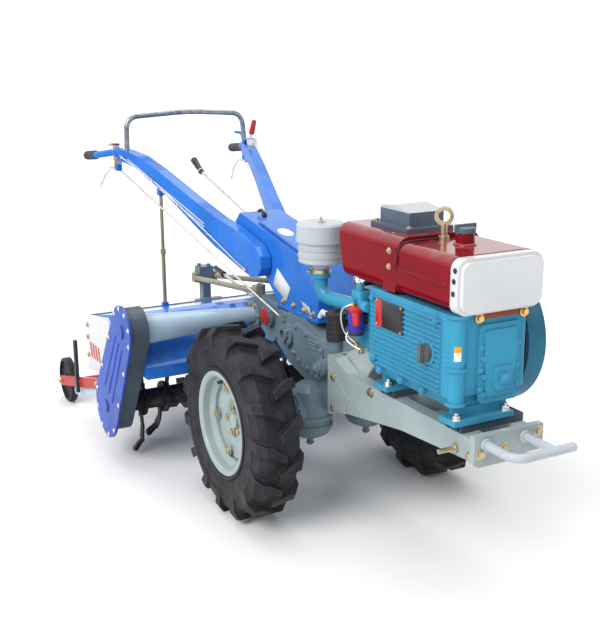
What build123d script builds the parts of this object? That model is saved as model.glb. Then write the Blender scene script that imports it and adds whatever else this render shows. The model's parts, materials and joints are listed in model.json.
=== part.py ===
"""Walking tractor with a rotary tiller, as separate named pieces.

Millimetres, +X to the front, +Y to the left, +Z up. Positions are written from the
ground point under the drive axle; every piece is exported moved by -MID_X, so that the
origin is on the ground at the middle of the whole object's length.
"""
import os
from math import atan2, cos, degrees, hypot, radians, sin

from build123d import *

# ---------------------------------------------------------------- whole machine
FRONT_X = 1036.0          # front of the bumper tube
REAR_X = -1606.0          # rear of the hand grips
MID_X = (FRONT_X + REAR_X) / 2
SIDE_Y = 625.0            # half the width, over the tiller's end plates
FIT = 0.08                # radial clearance of a running shaft

# ---------------------------------------------------------------- drive wheels
AXLE_Z = 320.0
TRACK_Y = 370.0           # wheel's mid-plane from the machine's mid-plane
LUG_R = 320.0
CROWN_R = 297.0
TYRE_HALF = 82.0
BEAD_R = 158.0
RIM_FLANGE_R = 173.0
DISH_OUT = 10.0          # hub face, out from the wheel's mid-plane
DISH_T = 8.0
CLIP_R = 114.0
CLIP_TURN = 23.0          # degrees
LUGS = 15                 # lugs on each shoulder of a tyre
AXLE_R = 24.0
HUB_LONG = 122.0          # from the wheel's mid-plane to the hub's inner end
AXLE_LONG = 170.0         # from the wheel's mid-plane to the half axle's inner end
HOUSING_END = TRACK_Y - HUB_LONG - 10.0
AXLE_END = TRACK_Y - AXLE_LONG

# ---------------------------------------------------------------- chassis
RAIL_TOP = 502.0
RAIL_OUT_Y = 105.0
RAIL_IN_Y = 62.0
RAIL_WALL = 6.0
BEAM_X = (884.0, 905.0)
BEAM_Z = (446.0, 519.0)

# ---------------------------------------------------------------- engine
CRANK = (568.0, 688.0)    # crankshaft axis (x, z)
ENGINE_X = (408.0, 816.0)
ENGINE_Y = (-138.0, 122.0)
ENGINE_Z = (600.0, 828.0)
FLYWHEEL_R = 210.0
FLYWHEEL_WIDE = 62.0
CASTING = 18.0            # wall of the crankcase
CLUTCH = (-95.0, 545.0)   # clutch pulley axis (x, z)
CLUTCH_R = 128.0          # radius at the belts' inner faces
ENGINE_PULLEY_R = 88.0
BELT_W = 12.0
BELT_T = 9.0
BELT_GAP = 4.0            # between neighbouring belts
TYRE_GAP = 59.0           # from the first belt's right edge to the left tyre
BELT_Y = TRACK_Y - TYRE_HALF - TYRE_GAP
BELTS_Y = [BELT_Y + i * (BELT_W + BELT_GAP) for i in range(3)]   # right edge of each belt
BELTS_END = BELTS_Y[-1] + BELT_W

# ---------------------------------------------------------------- tiller
TUBE_AXIS = (-430.0, 547.0)
ROTOR_AXIS = (-650.0, 208.0)
CASE_Y = (-612.0, -545.0)
COVER_Y = (-620.0, -612.0)
ROTOR_TUBE_R = 38.0
ROTOR_TUBE_WALL = 8.0
CASE_WALL = 14.0          # walls of the gear cases
SHEET = 3.0               # sheet metal of the hood
ROTOR_SHAFT_R = 22.0
BLADE_R = 196.0           # blade tips
BLADE_WIDE = 24.0
TAIL_WHEEL = (-1372.0, 562.0, 96.0)   # x, |y|, radius


# ================================================================ helpers
def box(x, y, z):
    """Box between pairs of coordinates, in either order."""
    x, y, z = sorted(x), sorted(y), sorted(z)
    return Pos((x[0] + x[1]) / 2, (y[0] + y[1]) / 2, (z[0] + z[1]) / 2) * Box(
        x[1] - x[0], y[1] - y[0], z[1] - z[0])


def outline(points, r=0.0):
    """Closed flat outline, with every corner rounded to r."""
    face = make_face(Polyline(*points, close=True))
    return fillet(face.vertices(), r) if r else face


def side(face, y0, y1):
    """A face drawn in (x, z), from y0 to y1."""
    plane = Plane(origin=(0, y1, 0), x_dir=(1, 0, 0), z_dir=(0, -1, 0))
    return extrude(plane * face, amount=y1 - y0)


def cross(face, x0, x1):
    """A face drawn in (y, z), from x0 to x1."""
    plane = Plane(origin=(x0, 0, 0), x_dir=(0, 1, 0), z_dir=(1, 0, 0))
    return extrude(plane * face, amount=x1 - x0)


def plan(face, z0, z1):
    """A face drawn in (x, y), from z0 to z1."""
    return extrude(Plane((0, 0, z0)) * face, amount=z1 - z0)


def rod(a, b, r, r2=None):
    """Round bar from point a to point b, or a cone to radius r2."""
    a, b = Vector(*a), Vector(*b)
    d = b - a
    plane = Plane(origin=a, z_dir=d)
    if r2 is None or r2 == r:
        return extrude(plane * Circle(r), amount=d.length)
    return loft([plane * Circle(r), Plane(origin=b, z_dir=d, x_dir=plane.x_dir) * Circle(r2)])


def flat_bar(a, b, wide, thick):
    """Flat bar from a to b in the (x, z) plane at a's y; thick along Y, wide across."""
    (ax, y, az), (bx, _, bz) = a, b
    long = hypot(bx - ax, bz - az)
    face = Pos((ax + bx) / 2, (az + bz) / 2) * Rot(0, 0, degrees(atan2(bz - az, bx - ax))) * (
        SlotCenterToCenter(long, wide))
    return side(face, y - thick / 2, y + thick / 2)


def bent_tube(points, bends, r):
    """Round tube along straight runs with tangent bends."""
    path = FilletPolyline(*points, radius=bends)
    start = path @ 0
    return sweep(Plane(origin=start, z_dir=path % 0) * Circle(r), path=path)


def turned(profile, centre, axis="y"):
    """Revolve (radius, height) points about an axis through centre."""
    face = make_face(Polyline(*[(r, h) for r, h in profile], close=True))
    solid = revolve(Plane.XZ * face, Axis.Z)
    turn = Rot(-90, 0, 0) if axis == "y" else Rot(0, 90, 0) if axis == "x" else Rot(0, 0, 0)
    return Pos(*centre) * turn * solid


def ring_of(shape, count, centre, start=0.0):
    """Copies of a shape turned about an axis along Y through centre (x, z)."""
    x, z = centre
    return [Pos(x, 0, z) * Rot(0, start + 360.0 * i / count, 0) * Pos(-x, 0, -z) * shape
            for i in range(count)]


def mirrored(shape):
    """The same shape on the machine's other side."""
    return mirror(shape, about=Plane.XZ)


def capsule(a, ra, b, rb):
    """Outline in (x, z) round two circles."""
    d = hypot(b[0] - a[0], b[1] - a[1])
    way = atan2(b[1] - a[1], b[0] - a[0])
    lean = atan2((ra - rb) / d, (1 - ((ra - rb) / d) ** 2) ** 0.5)
    pts = []
    for s in (1, -1):
        ang = way + s * (radians(90) - lean)
        pts.append(((a[0] + ra * cos(ang), a[1] + ra * sin(ang)),
                    (b[0] + rb * cos(ang), b[1] + rb * sin(ang))))
    (a1, b1), (a2, b2) = pts
    far_a = (a[0] - ra * cos(way), a[1] - ra * sin(way))
    far_b = (b[0] + rb * cos(way), b[1] + rb * sin(way))
    return make_face([Line(a1, b1), ThreePointArc(b1, far_b, b2), Line(b2, a2),
                      ThreePointArc(a2, far_a, a1)])


NODES = {}


def keep(name, *shapes):
    """Store a piece under its node name."""
    NODES[name] = [s for shape in shapes for s in shape.solids()]


def joined(first, *rest):
    """One solid of shapes that overlap or meet."""
    shape = first
    if rest:
        shape = first.fuse(*rest)
        if isinstance(shape, list):
            shape = Compound(list(shape))
    return shape


# ================================================================ drive wheels
def tyre():
    """Agricultural tyre about the Y axis at the origin, with chevron lugs."""
    carcass = turned([
        (CROWN_R, -48), (CROWN_R, 48), (CROWN_R - 13, 70), (CROWN_R - 45, 78), (212, 78),
        (176, 68), (BEAD_R, 68), (BEAD_R, 52), (176, 54), (206, 63), (CROWN_R - 47, 64),
        (CROWN_R - 25, 58), (CROWN_R - 15, 40), (CROWN_R - 15, -40), (CROWN_R - 25, -58),
        (CROWN_R - 47, -64), (206, -63), (176, -54), (BEAD_R, -52), (BEAD_R, -68),
        (176, -68), (212, -78), (CROWN_R - 45, -78), (CROWN_R - 13, -70)], (0, 0, 0))
    root = CROWN_R - 57
    reach = turned([(root, -TYRE_HALF), (LUG_R - 28, -TYRE_HALF), (LUG_R, -62), (LUG_R, 62),
                    (LUG_R - 28, TYRE_HALF), (root, TYRE_HALF)], (0, 0, 0))
    # one lug, seen from outside the tread: (along the tread, across it)
    bar = make_face(Polyline((-6, -8), (18, -8), (52, 40), (62, 90), (30, 90), (22, 46),
                             close=True))
    lug = extrude(Plane((0, 0, root - 4)) * bar, amount=100)
    lug = lug & reach
    right = mirrored(lug)
    lugs = ring_of(lug, LUGS, (0, 0)) + ring_of(right, LUGS, (0, 0), 180.0 / LUGS)
    return joined(carcass, *lugs)


def wheel(sign):
    """Tyre, and rim with hub and half axle, on one side of the machine."""
    put = Pos(0, sign * TRACK_Y, AXLE_Z)
    turn = Rot(0, 0, 0) if sign > 0 else Rot(0, 0, 180)
    barrel = turned([
        (RIM_FLANGE_R, -73), (RIM_FLANGE_R, -68.3), (BEAD_R - 0.3, -68.3), (BEAD_R - 0.3, -40),
        (140, -26), (140, 26), (BEAD_R - 0.3, 40), (BEAD_R - 0.3, 68.3), (RIM_FLANGE_R, 68.3),
        (RIM_FLANGE_R, 73), (160, 73), (152.7, 66), (152.7, 42), (135, 28), (135, -28),
        (152.7, -42), (152.7, -66), (160, -73)], (0, 0, 0))
    hub_face, ring_face, inner = DISH_OUT, DISH_OUT + 10, DISH_OUT - DISH_T
    dish = turned([
        (0, inner), (62, inner), (76, inner + 10), (124, inner + 10), (130, inner + 2),
        (137, inner + 2), (137, hub_face + 2), (134, hub_face + 2), (128, ring_face),
        (72, ring_face), (58, hub_face), (0, hub_face)], (0, 0, 0))
    bolts = ring_of(rod((0, hub_face - 2, 44), (0, hub_face + 12, 44), 8), 5, (0, 0), 20)
    clips = ring_of(rod((0, ring_face - 2, CLIP_R), (0, ring_face + 10, CLIP_R), 9),
                    5, (0, 0), CLIP_TURN)
    cap = rod((0, hub_face - 2, 0), (0, hub_face + 16, 0), 24)
    hub = turned([(0, inner), (62, inner), (62, inner - 12), (44, inner - 20), (36, -100),
                  (36, -HUB_LONG), (AXLE_R, -HUB_LONG), (AXLE_R, -AXLE_LONG),
                  (0, -AXLE_LONG)], (0, 0, 0))
    return put * turn * tyre(), put * turn * joined(barrel, dish, *bolts, *clips, cap, hub)


for name, sign in (("right", -1), ("left", 1)):
    rubber, rim = wheel(sign)
    keep(f"{name}_tyre", rubber)
    keep(f"{name}_rim", rim)


# ================================================================ chassis
def chassis():
    """Two channel rails, front beam, cross members and rear flange."""
    edge = [(128, 534), (160, 534), (240, RAIL_TOP), (892, RAIL_TOP), (892, 440),
            (546, 417), (211, 364), (128, 342)]
    core = [(120, 526), (157, 526), (238, RAIL_TOP - 8), (900, RAIL_TOP - 8), (900, 449),
            (545, 425), (209, 372), (120, 350)]
    rail = side(outline(edge), RAIL_IN_Y, RAIL_OUT_Y) - side(
        outline(core), RAIL_IN_Y - 1, RAIL_OUT_Y - RAIL_WALL)
    beam = box(BEAM_X, (-118, 112), BEAM_Z)
    flange = box((116, 130), (-RAIL_OUT_Y, RAIL_OUT_Y), (333, 534))
    reach = RAIL_OUT_Y - RAIL_WALL + 1
    ties = [box((x, x + 44), (-reach, reach), (z, z + 44))
            for x, z in ((300, 444), (640, 452))]
    gusset = side(outline([(128, 345), (128, 500), (252, 420), (232, 366)]), RAIL_OUT_Y - 1,
                  RAIL_OUT_Y + 3)
    arch = cross(Pos(0, 480) * (Circle(64) - Circle(56)) & Pos(0, 530) * Rectangle(140, 100),
                 130, 292)
    rim = [box((130, 292), (s * 56, s * 99), (480, 488)) for s in (-1, 1)]
    lower = box(BEAM_X, (-RAIL_OUT_Y, 60), (432, BEAM_Z[0] + 1))
    return joined(rail, mirrored(rail), beam, lower, flange, *ties, arch, *rim,
                  gusset, mirrored(gusset))


keep("chassis_frame", chassis())
PIN = (808.0, 455.0)      # hitch pins (x, z)
hitch_pins = [joined(rod((PIN[0], s * RAIL_OUT_Y, PIN[1]), (PIN[0], s * 162, PIN[1]), 7),
                     rod((PIN[0], s * RAIL_OUT_Y, PIN[1]), (PIN[0], s * 112, PIN[1]), 13))
              for s in (-1, 1)]

BUMPER_R = 12.5
BUMPER_Z = 492.0
nose = FRONT_X - BUMPER_R
BUMPER_ARMS = (-80.0, 50.0)
near, far = BUMPER_ARMS
keep("front_bumper", joined(
    bent_tube([(BEAM_X[1] + 6, near, BUMPER_Z), (nose, near, BUMPER_Z), (nose, 108, BUMPER_Z)],
              36, BUMPER_R),
    Pos(nose, 108, BUMPER_Z) * Sphere(BUMPER_R),
    rod((BEAM_X[1] + 6, far, BUMPER_Z), (nose, far, BUMPER_Z), BUMPER_R - 1),
    *[rod((BEAM_X[1], y, BUMPER_Z), (BEAM_X[1] + 8, y, BUMPER_Z), 18) for y in BUMPER_ARMS]))

MOUNT_Z = 526.0
BEARER_Y = 106.0
BEARERS_X = (764.0, 440.0)
keep("engine_mounts", *[
    box((x, x + 66), (-BEARER_Y, BEARER_Y), (RAIL_TOP, MOUNT_Z))
    - box((x + 6, x + 60), (-BEARER_Y - 1, BEARER_Y + 1), (RAIL_TOP - 1, MOUNT_Z - 7))
    for x in BEARERS_X])


# ================================================================ engine
def engine_block():
    """Crankcase with feet, ribbed right side, front inspection cover and crank boss."""
    x, y, z = ENGINE_X, ENGINE_Y, ENGINE_Z
    body = box(x, y, z)
    body = fillet(body.edges().filter_by(Axis.Z), 22)
    sump = cross(outline([(y[0] + 2, z[0] + 4), (y[1] - 2, z[0] + 4), (y[1] - 26, 562),
                          (y[0] + 30, 562)]), x[0] + 14, x[1] - 14)
    feet = []
    for fx in (768, 440):
        feet += [box((fx, fx + 70), (y[0] + 4, 66), (MOUNT_Z, MOUNT_Z + 16)),
                 box((fx + 4, fx + 40), (y[0] + 34, 62), (MOUNT_Z + 15, 566))]
    wall = CASTING
    cavity = box((x[0] + wall, x[1] - wall), (y[0] + wall, y[1] - wall), (z[0] + 12, z[1] - wall))
    oil_space = box((x[0] + 30, x[1] - 30), (y[0] + 42, y[1] - 38), (574, z[0] + 13))
    boss = rod((CRANK[0], y[1] - 2, CRANK[1]), (CRANK[0], 150, CRANK[1]), 78)
    # ribs along the right side, a filler boss and the corner post at the front
    ribs = [box((x[0] + 22, x[1] - 40), (y[0] - 5, y[0] + 1), (z[0] + 6 + 14 * i, z[0] + 11 + 14 * i))
            for i in range(15)]
    pad = rod((719, y[0] - 7, 706), (719, y[0] + 1, 706), 34)
    corner = (x[1] - 6, y[0] + 24)
    post = rod((*corner, 580), (*corner, z[1]), 23)
    collars = [rod((*corner, pz), (*corner, pz + 8), 29) for pz in (580, 676, z[1] - 8)]
    # front inspection cover with its window boss and three bolt bosses
    front = [cross(outline([(-44, 572), (80, 572), (86, 640), (86, 792), (-50, 792),
                            (-50, 640)], 12), x[1] - 2, x[1] + 8),
             cross(outline([(-28, 592), (68, 592), (74, 776), (-36, 776)], 12), x[1] + 8, x[1] + 14),
             cross(Pos(28, 640) * RectangleRounded(62, 66, 8), x[1] + 14, x[1] + 20),
             box((x[1] + 20, x[1] + 28), (14, 42), (626, 654))]
    knobs = [rod((x[1] + 8, -38, kz), (x[1] + 17, -38, kz), 8) for kz in (600, 650, 700)]
    shape = joined(body, sump, boss, pad, post, *feet, *ribs, *collars, *front, *knobs)
    return shape - cavity - oil_space


keep("engine_block", engine_block())

head = box((312, 408), (-112, 96), (618, 800))
head = fillet(head.edges().filter_by(Axis.X), 14)
rocker = fillet(box((268, 312), (-36, 82), (640, 785)).edges().filter_by(Axis.X), 16)

keep("engine_trim", joined(
    rod((719, ENGINE_Y[0] - 7, 706), (719, ENGINE_Y[0] - 19, 706), 25),
    box((712, 726), (ENGINE_Y[0] - 33, ENGINE_Y[0] - 19), (680, 732))),
    box((470, 600), (ENGINE_Y[0] - 9, ENGINE_Y[0] - 5), (724, 804)))


# ================================================================ tanks
def tank(x, z, half, r, wall=3.0, lean=0.0):
    """Closed sheet-metal tank with rounded shoulders, hollow inside.

    The rear face leans forward towards its foot by lean.
    """
    def hull(t):
        long = side(outline([(x[0] + t, z[1] - t), (x[0] + t + lean, z[0] + t),
                             (x[1] - t, z[0] + t), (x[1] - t, z[1] - t)]), -half + t, half - t)
        return long & cross(Pos(0, (z[0] + z[1]) / 2) * RectangleRounded(
            2 * (half - t), z[1] - z[0] - 2 * t, r - t), x[0], x[1])
    return hull(0) - hull(wall)


def strakes(x, z):
    """Pressed ribs along both sides of a tank."""
    return [box(x, (y, y + 5), (z, z + 8)) for y in (-147, 142)]


SEAM = 566.0              # where the two tanks meet
keep("condenser_tank", joined(
    tank((247, SEAM - 1), (828, 992), 143, 38, lean=30),
    *[box((SEAM - 62, SEAM - 3), (s * 142, s * 146), (838, 966)) for s in (-1, 1)]))
NECK = (681.0, 0.0, 980.0)
NECK_TOP = 34.0
neck = turned([(17, 0), (24, 0), (24, NECK_TOP), (17, NECK_TOP)], NECK, "z")
pads = [box((x, x + 40), (-60, 60), (828, 837)) for x in (600, 720)]
keep("fuel_tank", joined(tank((SEAM + 1, 806), (836, 980), 143, 34), neck,
                         *strakes((SEAM + 14, 800), 902), *pads))

brow = cross(Pos(0, 903) * RectangleRounded(278, 150, 30), 806, 838)
face = cross(Pos(0, 903) * RectangleRounded(262, 134, 26), 838, 852)
inner = cross(Pos(0, 903) * RectangleRounded(270, 142, 26), 805, 834)
keep("tank_front_cover", joined(brow, face) - inner)

cap_z = NECK[2] + NECK_TOP
cap = joined(turned([(0, 0), (29, 0), (29, 14), (22, 18), (0, 18)],
                    (NECK[0], 0, cap_z), "z"),
             box((NECK[0] - 5, NECK[0] + 5), (-34, 34), (cap_z + 6, cap_z + 24)))
lid_box = joined(box((330, 520), (-80, 80), (992, 1004)),
                 side(outline([(350, 1004), (350, 1052), (420, 1060), (500, 1046), (500, 1004)]),
                      -60, 60))
lid_box -= box((356, 494), (-54, 54), (991, 1040))
keep("tank_tops", cap, lid_box)
EYE_TURN = -38.0          # the eye's hole faces forward and to the right
EYE = (584.0, 1045.0)     # lifting eye (x, z)
eye = Rot(0, 0, EYE_TURN) * cross(Pos(0, EYE[1]) * (Circle(27) - Circle(16)), -8, 8)
eye = Pos(EYE[0], 0, 0) * joined(eye, rod((0, 0, 980), (0, 0, EYE[1] - 19), 10),
                                 rod((0, 0, 980), (0, 0, 990), 16))
keep("zinc_fittings", eye, *hitch_pins)

# ================================================================ air, exhaust, fuel
AIR = (99.0, -120.0)
air_space = turned([(0, 42), (69, 42), (69, 101), (75, 107), (75, 153), (69, 159), (0, 159)],
                   (*AIR, 806), "z")
keep("air_cleaner", turned([(0, 0), (27, 0), (27, 23), (70, 36), (72, 40), (72, 102),
                            (78, 104), (78, 156), (72, 162), (0, 162)], (*AIR, 806), "z")
     - air_space)
intake = bent_tube([(*AIR, 800), (*AIR, 728), (236, -88, 728), (314, -88, 728)], [46, 40], 22)
collar = turned([(20, 0), (31, 0), (31, 14), (20, 14)], (*AIR, 792), "z")
elbow = rod((296, -88, 728), (314, -88, 728), 30)
keep("cylinder_head", joined(head, rocker, intake, collar, elbow)
     - box((328, 392), (-60, 80), (634, 784)) - box((276, 304), (-28, 74), (648, 777)))
keep("muffler", joined(
    bent_tube([(352, 96, 716), (352, 150, 716), (214, 150, 716)], 34, 19),
    rod((60, 150, 716), (226, 150, 716), 42), rod((20, 150, 716), (62, 150, 716), 16))
     - rod((63, 150, 716), (222, 150, 716), 39))
fuel_filter = joined(rod((358, -146, 668), (358, -146, 740), 24),
                     rod((358, -146, 740), (358, -146, 756), 15),
                     box((346, 370), (-124, -112), (700, 730)))
CANISTER = (92.0, -60.0, 572.0)
canister = turned([(0, 0), (31, 0), (31, 78), (35, 82), (35, 92), (14, 94), (10, 106), (0, 106)],
                  CANISTER, "z")
keep("filters", fuel_filter, canister)

# ================================================================ belt drive
span = [(CLUTCH, CLUTCH_R), (CRANK, ENGINE_PULLEY_R)]


def belt(y0):
    """One V-belt round both pulleys, standing 0.3 mm off them."""
    (c, rc), (e, re) = span
    return side(capsule(c, rc + 0.3 + BELT_T, e, re + 0.3 + BELT_T), y0, y0 + BELT_W) - side(
        capsule(c, rc + 0.3, e, re + 0.3), y0 - 1, y0 + BELT_W + 1)


keep("drive_belts", *[belt(y) for y in BELTS_Y])


def grooved(r, y0, y1):
    """Pulley rim: collars between the belts."""
    profile = [(0, y0), (r + 12, y0)]
    for b in BELTS_Y:
        profile += [(r + 12, b - 1.0), (r, b - 1.0), (r, b + BELT_W + 1.0),
                    (r + 12, b + BELT_W + 1.0)]
    profile += [(r + 12, y1), (0, y1)]
    return [(radius, h) for radius, h in profile]


fly_end = BELT_Y - 7
fly_start = fly_end - FLYWHEEL_WIDE
fly_rim = FLYWHEEL_R - 30
web = fly_end - 32
fly = turned([(0, 154), (60, 154), (60, web - 12), (fly_rim, web - 12), (fly_rim, fly_start),
              (FLYWHEEL_R, fly_start), (FLYWHEEL_R, fly_end), (fly_rim, fly_end),
              (fly_rim, web), (0, web)], (CRANK[0], 0, CRANK[1]))
pulley = turned(grooved(ENGINE_PULLEY_R, web - 1, BELTS_END + 3), (CRANK[0], 0, CRANK[1]))
pulley -= rod((CRANK[0], web + 10, CRANK[1]), (CRANK[0], BELTS_END + 4, CRANK[1]),
              ENGINE_PULLEY_R - 16)
nut = rod((CRANK[0], web, CRANK[1]), (CRANK[0], BELT_Y + 20, CRANK[1]), 26)
keep("flywheel", joined(fly, pulley, nut))
drum = turned(grooved(CLUTCH_R, BELT_Y - 5, BELTS_END + 2), (CLUTCH[0], 0, CLUTCH[1]))
drum -= side(Pos(*CLUTCH) * (Circle(CLUTCH_R - 16) - Circle(44)), BELT_Y - 6, BELTS_END - 11)
shaft = rod((CLUTCH[0], 96, CLUTCH[1]), (CLUTCH[0], BELT_Y - 4, CLUTCH[1]), 22)
keep("clutch_pulley", joined(drum, shaft))

guard_y = (BELT_Y - 15, BELTS_END + 7)
guard_out = capsule(CLUTCH, CLUTCH_R + 34, (330, 640), 146)
guard_in = capsule(CLUTCH, CLUTCH_R + 31, (330, 640), 143)
guard = side(guard_out, *guard_y) - side(guard_in, guard_y[0] - 1, guard_y[1] - 3)
guard -= box((330, 700), (guard_y[0] - 9, guard_y[1] + 9), (400, 900))
posts = [rod((x, 95, z), (x, guard_y[0] + 6, z), 7) for x, z in ((-255.1, 556.2), (90, 427.6))]
keep("belt_guard", joined(guard, *posts))


# ================================================================ gearbox
GEARBOX = [(116, 534), (116, 333), (40, 333), (-60, 400), (-180, 430), (-265, 480),
           (-265, 604), (-60, 612), (54, 571)]
BRAKE_HUB = (82.0, 480.0)  # hub on the case's right side (x, z)
# final drives: one upright housing a side, turned outline and its hollow (radius, z)
FINAL_DRIVE = (9.0, 112.0)      # axis (x, |y|)
DRIVE_CASE = [(0, 226), (48, 226), (66, 238), (76, 256), (78, 262), (78, 272), (73, 274),
              (73, 292), (78, 294), (78, 304), (73, 306), (73, 350), (60, 388), (36, 410),
              (0, 418)]
DRIVE_HOLLOW = [(0, 240), (44, 240), (58, 254), (59, 262), (59, 348), (48, 378), (28, 394),
                (0, 400)]


def gearbox():
    """Gearbox case, final drive and axle housings in one casting."""
    body = side(outline(GEARBOX, 14), -95, 95)
    plate = side(outline([(-120, 588), (-128, 470), (-96, 448), (48, 424), (70, 452), (80, 544),
                          (50, 564)], 12), -103, -90)
    ribs = [box((-10, 40), (-106, -102), (z, z + 4)) for z in (526, 538, 550)]
    boss = rod((-176, -90, 528), (-176, -108, 528), 40)
    clutch = rod((CLUTCH[0], 80, CLUTCH[1]), (CLUTCH[0], 150, CLUTCH[1]), 58)
    seat = rod((CANISTER[0], CANISTER[1], 520), CANISTER, 23)
    hub = joined(rod((BRAKE_HUB[0], -90, BRAKE_HUB[1]), (BRAKE_HUB[0], -118, BRAKE_HUB[1]), 29),
                 rod((BRAKE_HUB[0], -118, BRAKE_HUB[1]), (BRAKE_HUB[0], -132, BRAKE_HUB[1]), 21))
    parts = [body, plate, *ribs, boss, clutch, seat, hub]
    x, y = FINAL_DRIVE
    for s in (-1, 1):
        parts += [turned(DRIVE_CASE, (x, s * y, 0), "z"),
                  rod((x, s * y, 230), (x, s * y, 195), 11),
                  rod((0, s * 130, AXLE_Z), (0, s * 184, AXLE_Z), 66),
                  rod((0, s * 184, AXLE_Z), (0, s * 200, AXLE_Z), 66, 52),
                  rod((0, s * 198, AXLE_Z), (0, s * HOUSING_END, AXLE_Z), 50)]
    shape = joined(*parts)
    for s in (-1, 1):
        shape -= rod((0, s * (AXLE_END - 4), AXLE_Z), (0, s * (HOUSING_END + 1), AXLE_Z),
                     AXLE_R + FIT)
    shape -= side(offset(outline(GEARBOX), -CASE_WALL), -95 + CASE_WALL, 95 - CASE_WALL)
    for s in (-1, 1):
        shape -= turned(DRIVE_HOLLOW, (x, s * y, 0), "z")
    return shape - rod((CLUTCH[0], 96, CLUTCH[1]), (CLUTCH[0], 151, CLUTCH[1]), 22 + FIT)


keep("gearbox_case", gearbox())


# ================================================================ console
SEAT = [(20, 618), (18, 690), (-100, 812), (-470, 884), (-584, 904), (-650, 838),
        (-600, 772), (-380, 704), (-262, 618)]
SEAT_IN = [(14, 614), (12, 688), (-103, 807), (-470, 878.5), (-582, 898), (-643, 837),
           (-597, 777), (-378, 709), (-259, 614)]
console = side(outline(SEAT, 12), -84, 84) - side(outline(SEAT_IN, 8), -80, 80)
console = joined(console, box((-262, 20), (-92, 92), (612, 622))
                 - box((-255, 12), (-80, 80), (611, 623)))
lid_mid = (-285.0, 848.0)
lid = Pos(lid_mid[0], 0, lid_mid[1]) * Rot(0, degrees(atan2(72, 370)), 0) * extrude(
    RectangleRounded(330, 140, 22), amount=11)
keep("console", joined(console, lid))

# ================================================================ handle arms
# each arm is the overlap of its side view (x, z) and its plan view (x, y)
ARM_SIDE = [(-1305, 1046), (-1240, 1036), (-1149, 1012), (-1020, 955), (-900, 891), (-783, 825),
            (-667, 762), (-533, 722), (-396, 698), (-345, 706), (-318, 740), (-322, 782),
            (-360, 812), (-478, 842), (-560, 858), (-651, 874), (-775, 922), (-898, 973),
            (-1023, 1025), (-1159, 1073), (-1265, 1091), (-1305, 1092)]
ARM_PLAN = [(-300, -128), (-400, -134), (-540, -134), (-651, -146), (-1305, -311),
            (-1305, -265), (-651, -100), (-560, -88), (-300, -88)]
ARM_SHEET = 3.0


def arm(inset=0.0):
    """Right handle's box arm, or the space inside it at an inset."""
    in_side = outline(ARM_SIDE, 10)
    in_plan = make_face(Polyline(*ARM_PLAN, close=True))
    if inset:
        in_side, in_plan = offset(in_side, -inset), offset(in_plan, -inset)
    return side(in_side, -330, -70) & plan(in_plan, 680, 1110)


arm_block = arm()
BAR_R = 15.0
right_bar = bent_tube([(-1215, -265.5, 1057), (-1305, -288, 1069), (-1360, -302, 1075),
                       (-1470, -352, 1056), (-1598, -352, 1043)], [40, 60, 24], BAR_R)
PROP = (-1030.0, -228.0)  # telescopic prop between the hood and the right arm (x, y)
right_arm = joined(arm_block - arm(ARM_SHEET) - right_bar,
                   *[rod((x, -84, z), (x, -100, z), 15)
                     for x, z in ((-380, 735), (-370, 785), (-450, 800))])
bracket = box((PROP[0] - 14, PROP[0] + 14), (PROP[1] - 12, PROP[1] + 12), (925, 968))
bracket -= rod((*PROP, 920), (*PROP, 950), 7)
bracket -= arm(ARM_SHEET)
keep("handle_arms", joined(right_arm, bracket), mirrored(right_arm))

keep("handle_bars", right_bar, mirrored(right_bar))
grip = rod((-1476, -352, 1055.4), (REAR_X + 2.02, -352, 1042.4), 20)
grip -= rod((-1400, -352, 1063.1), (-1599, -352, 1042.9), 15.3)
keep("hand_grips", grip, mirrored(grip))
HOOP_X = -1288.0
keep("handle_hoop", bent_tube(
    [(HOOP_X, -274, 1084), (HOOP_X - 12, -266, 1222), (HOOP_X, 0, 1239),
     (HOOP_X - 12, 266, 1222), (HOOP_X, 274, 1084)], [52, 900, 52], 11)
     - arm_block - mirrored(arm_block))

# ================================================================ hand controls
levers = []
for s in (-1, 1):
    clear = right_bar if s < 0 else mirrored(right_bar)
    levers.append(joined(
        bent_tube([(-1336, s * 300, 1012), (-1425, s * 304, 1000), (-1490, s * 311, 962),
                   (-1540, s * 320, 905)], 40, 6),
        box((-1350, -1320), (s * 288, s * 312), (1000, 1066)) - clear))
throttle = joined(box((-1372, -1344), (-316, -288), (1078, 1106)) - right_bar,
                  rod((-1358, -300, 1100), (-1440, -304, 1100), 5))
clutch_base = box((-1264, -1222), (262, 304), (1072, 1112)) - mirrored(arm_block) - mirrored(
    right_bar)
clutch_lever = joined(clutch_base, rod((-1246, 280, 1104), (-1240, 285, 1134), 6))
SHIFT_FOOT = (-630.0, 0.0, 858.0)
SHIFT_TOP = (-1130.0, 0.0, 992.0)
shift_way = (Vector(*SHIFT_TOP) - Vector(*SHIFT_FOOT)).normalized()
shift_lever = joined(rod(Vector(*SHIFT_FOOT) + shift_way * 5, SHIFT_TOP, 6),
                     rod(SHIFT_FOOT, Vector(*SHIFT_FOOT) + Vector(-10, 0, 10), 18, 11))
TILLER_LEVER = [(-492.0, -40.0, 564.0), (-508.0, -40.0, 564.0), (-843.0, -40.0, 611.0)]
tiller_lever = joined(rod(TILLER_LEVER[0], TILLER_LEVER[1], 9),
                      rod(Vector(*TILLER_LEVER[1]) + Vector(3, 0, 0), TILLER_LEVER[2], 6))
keep("levers", *levers, throttle, clutch_lever, shift_lever, tiller_lever)
neck_end = Vector(*SHIFT_TOP) + shift_way * 18
keep("lever_knobs",
     joined(rod(SHIFT_TOP, neck_end, 9),
            rod(Vector(*SHIFT_TOP) + shift_way * 14, (-1220, 0, 1037), 11, 15)),
     rod((-1240, 285, 1134), (-1228, 295, 1194), 13, 10),
     rod(TILLER_LEVER[2], (-928, -40, 622.9), 12, 10))
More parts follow.
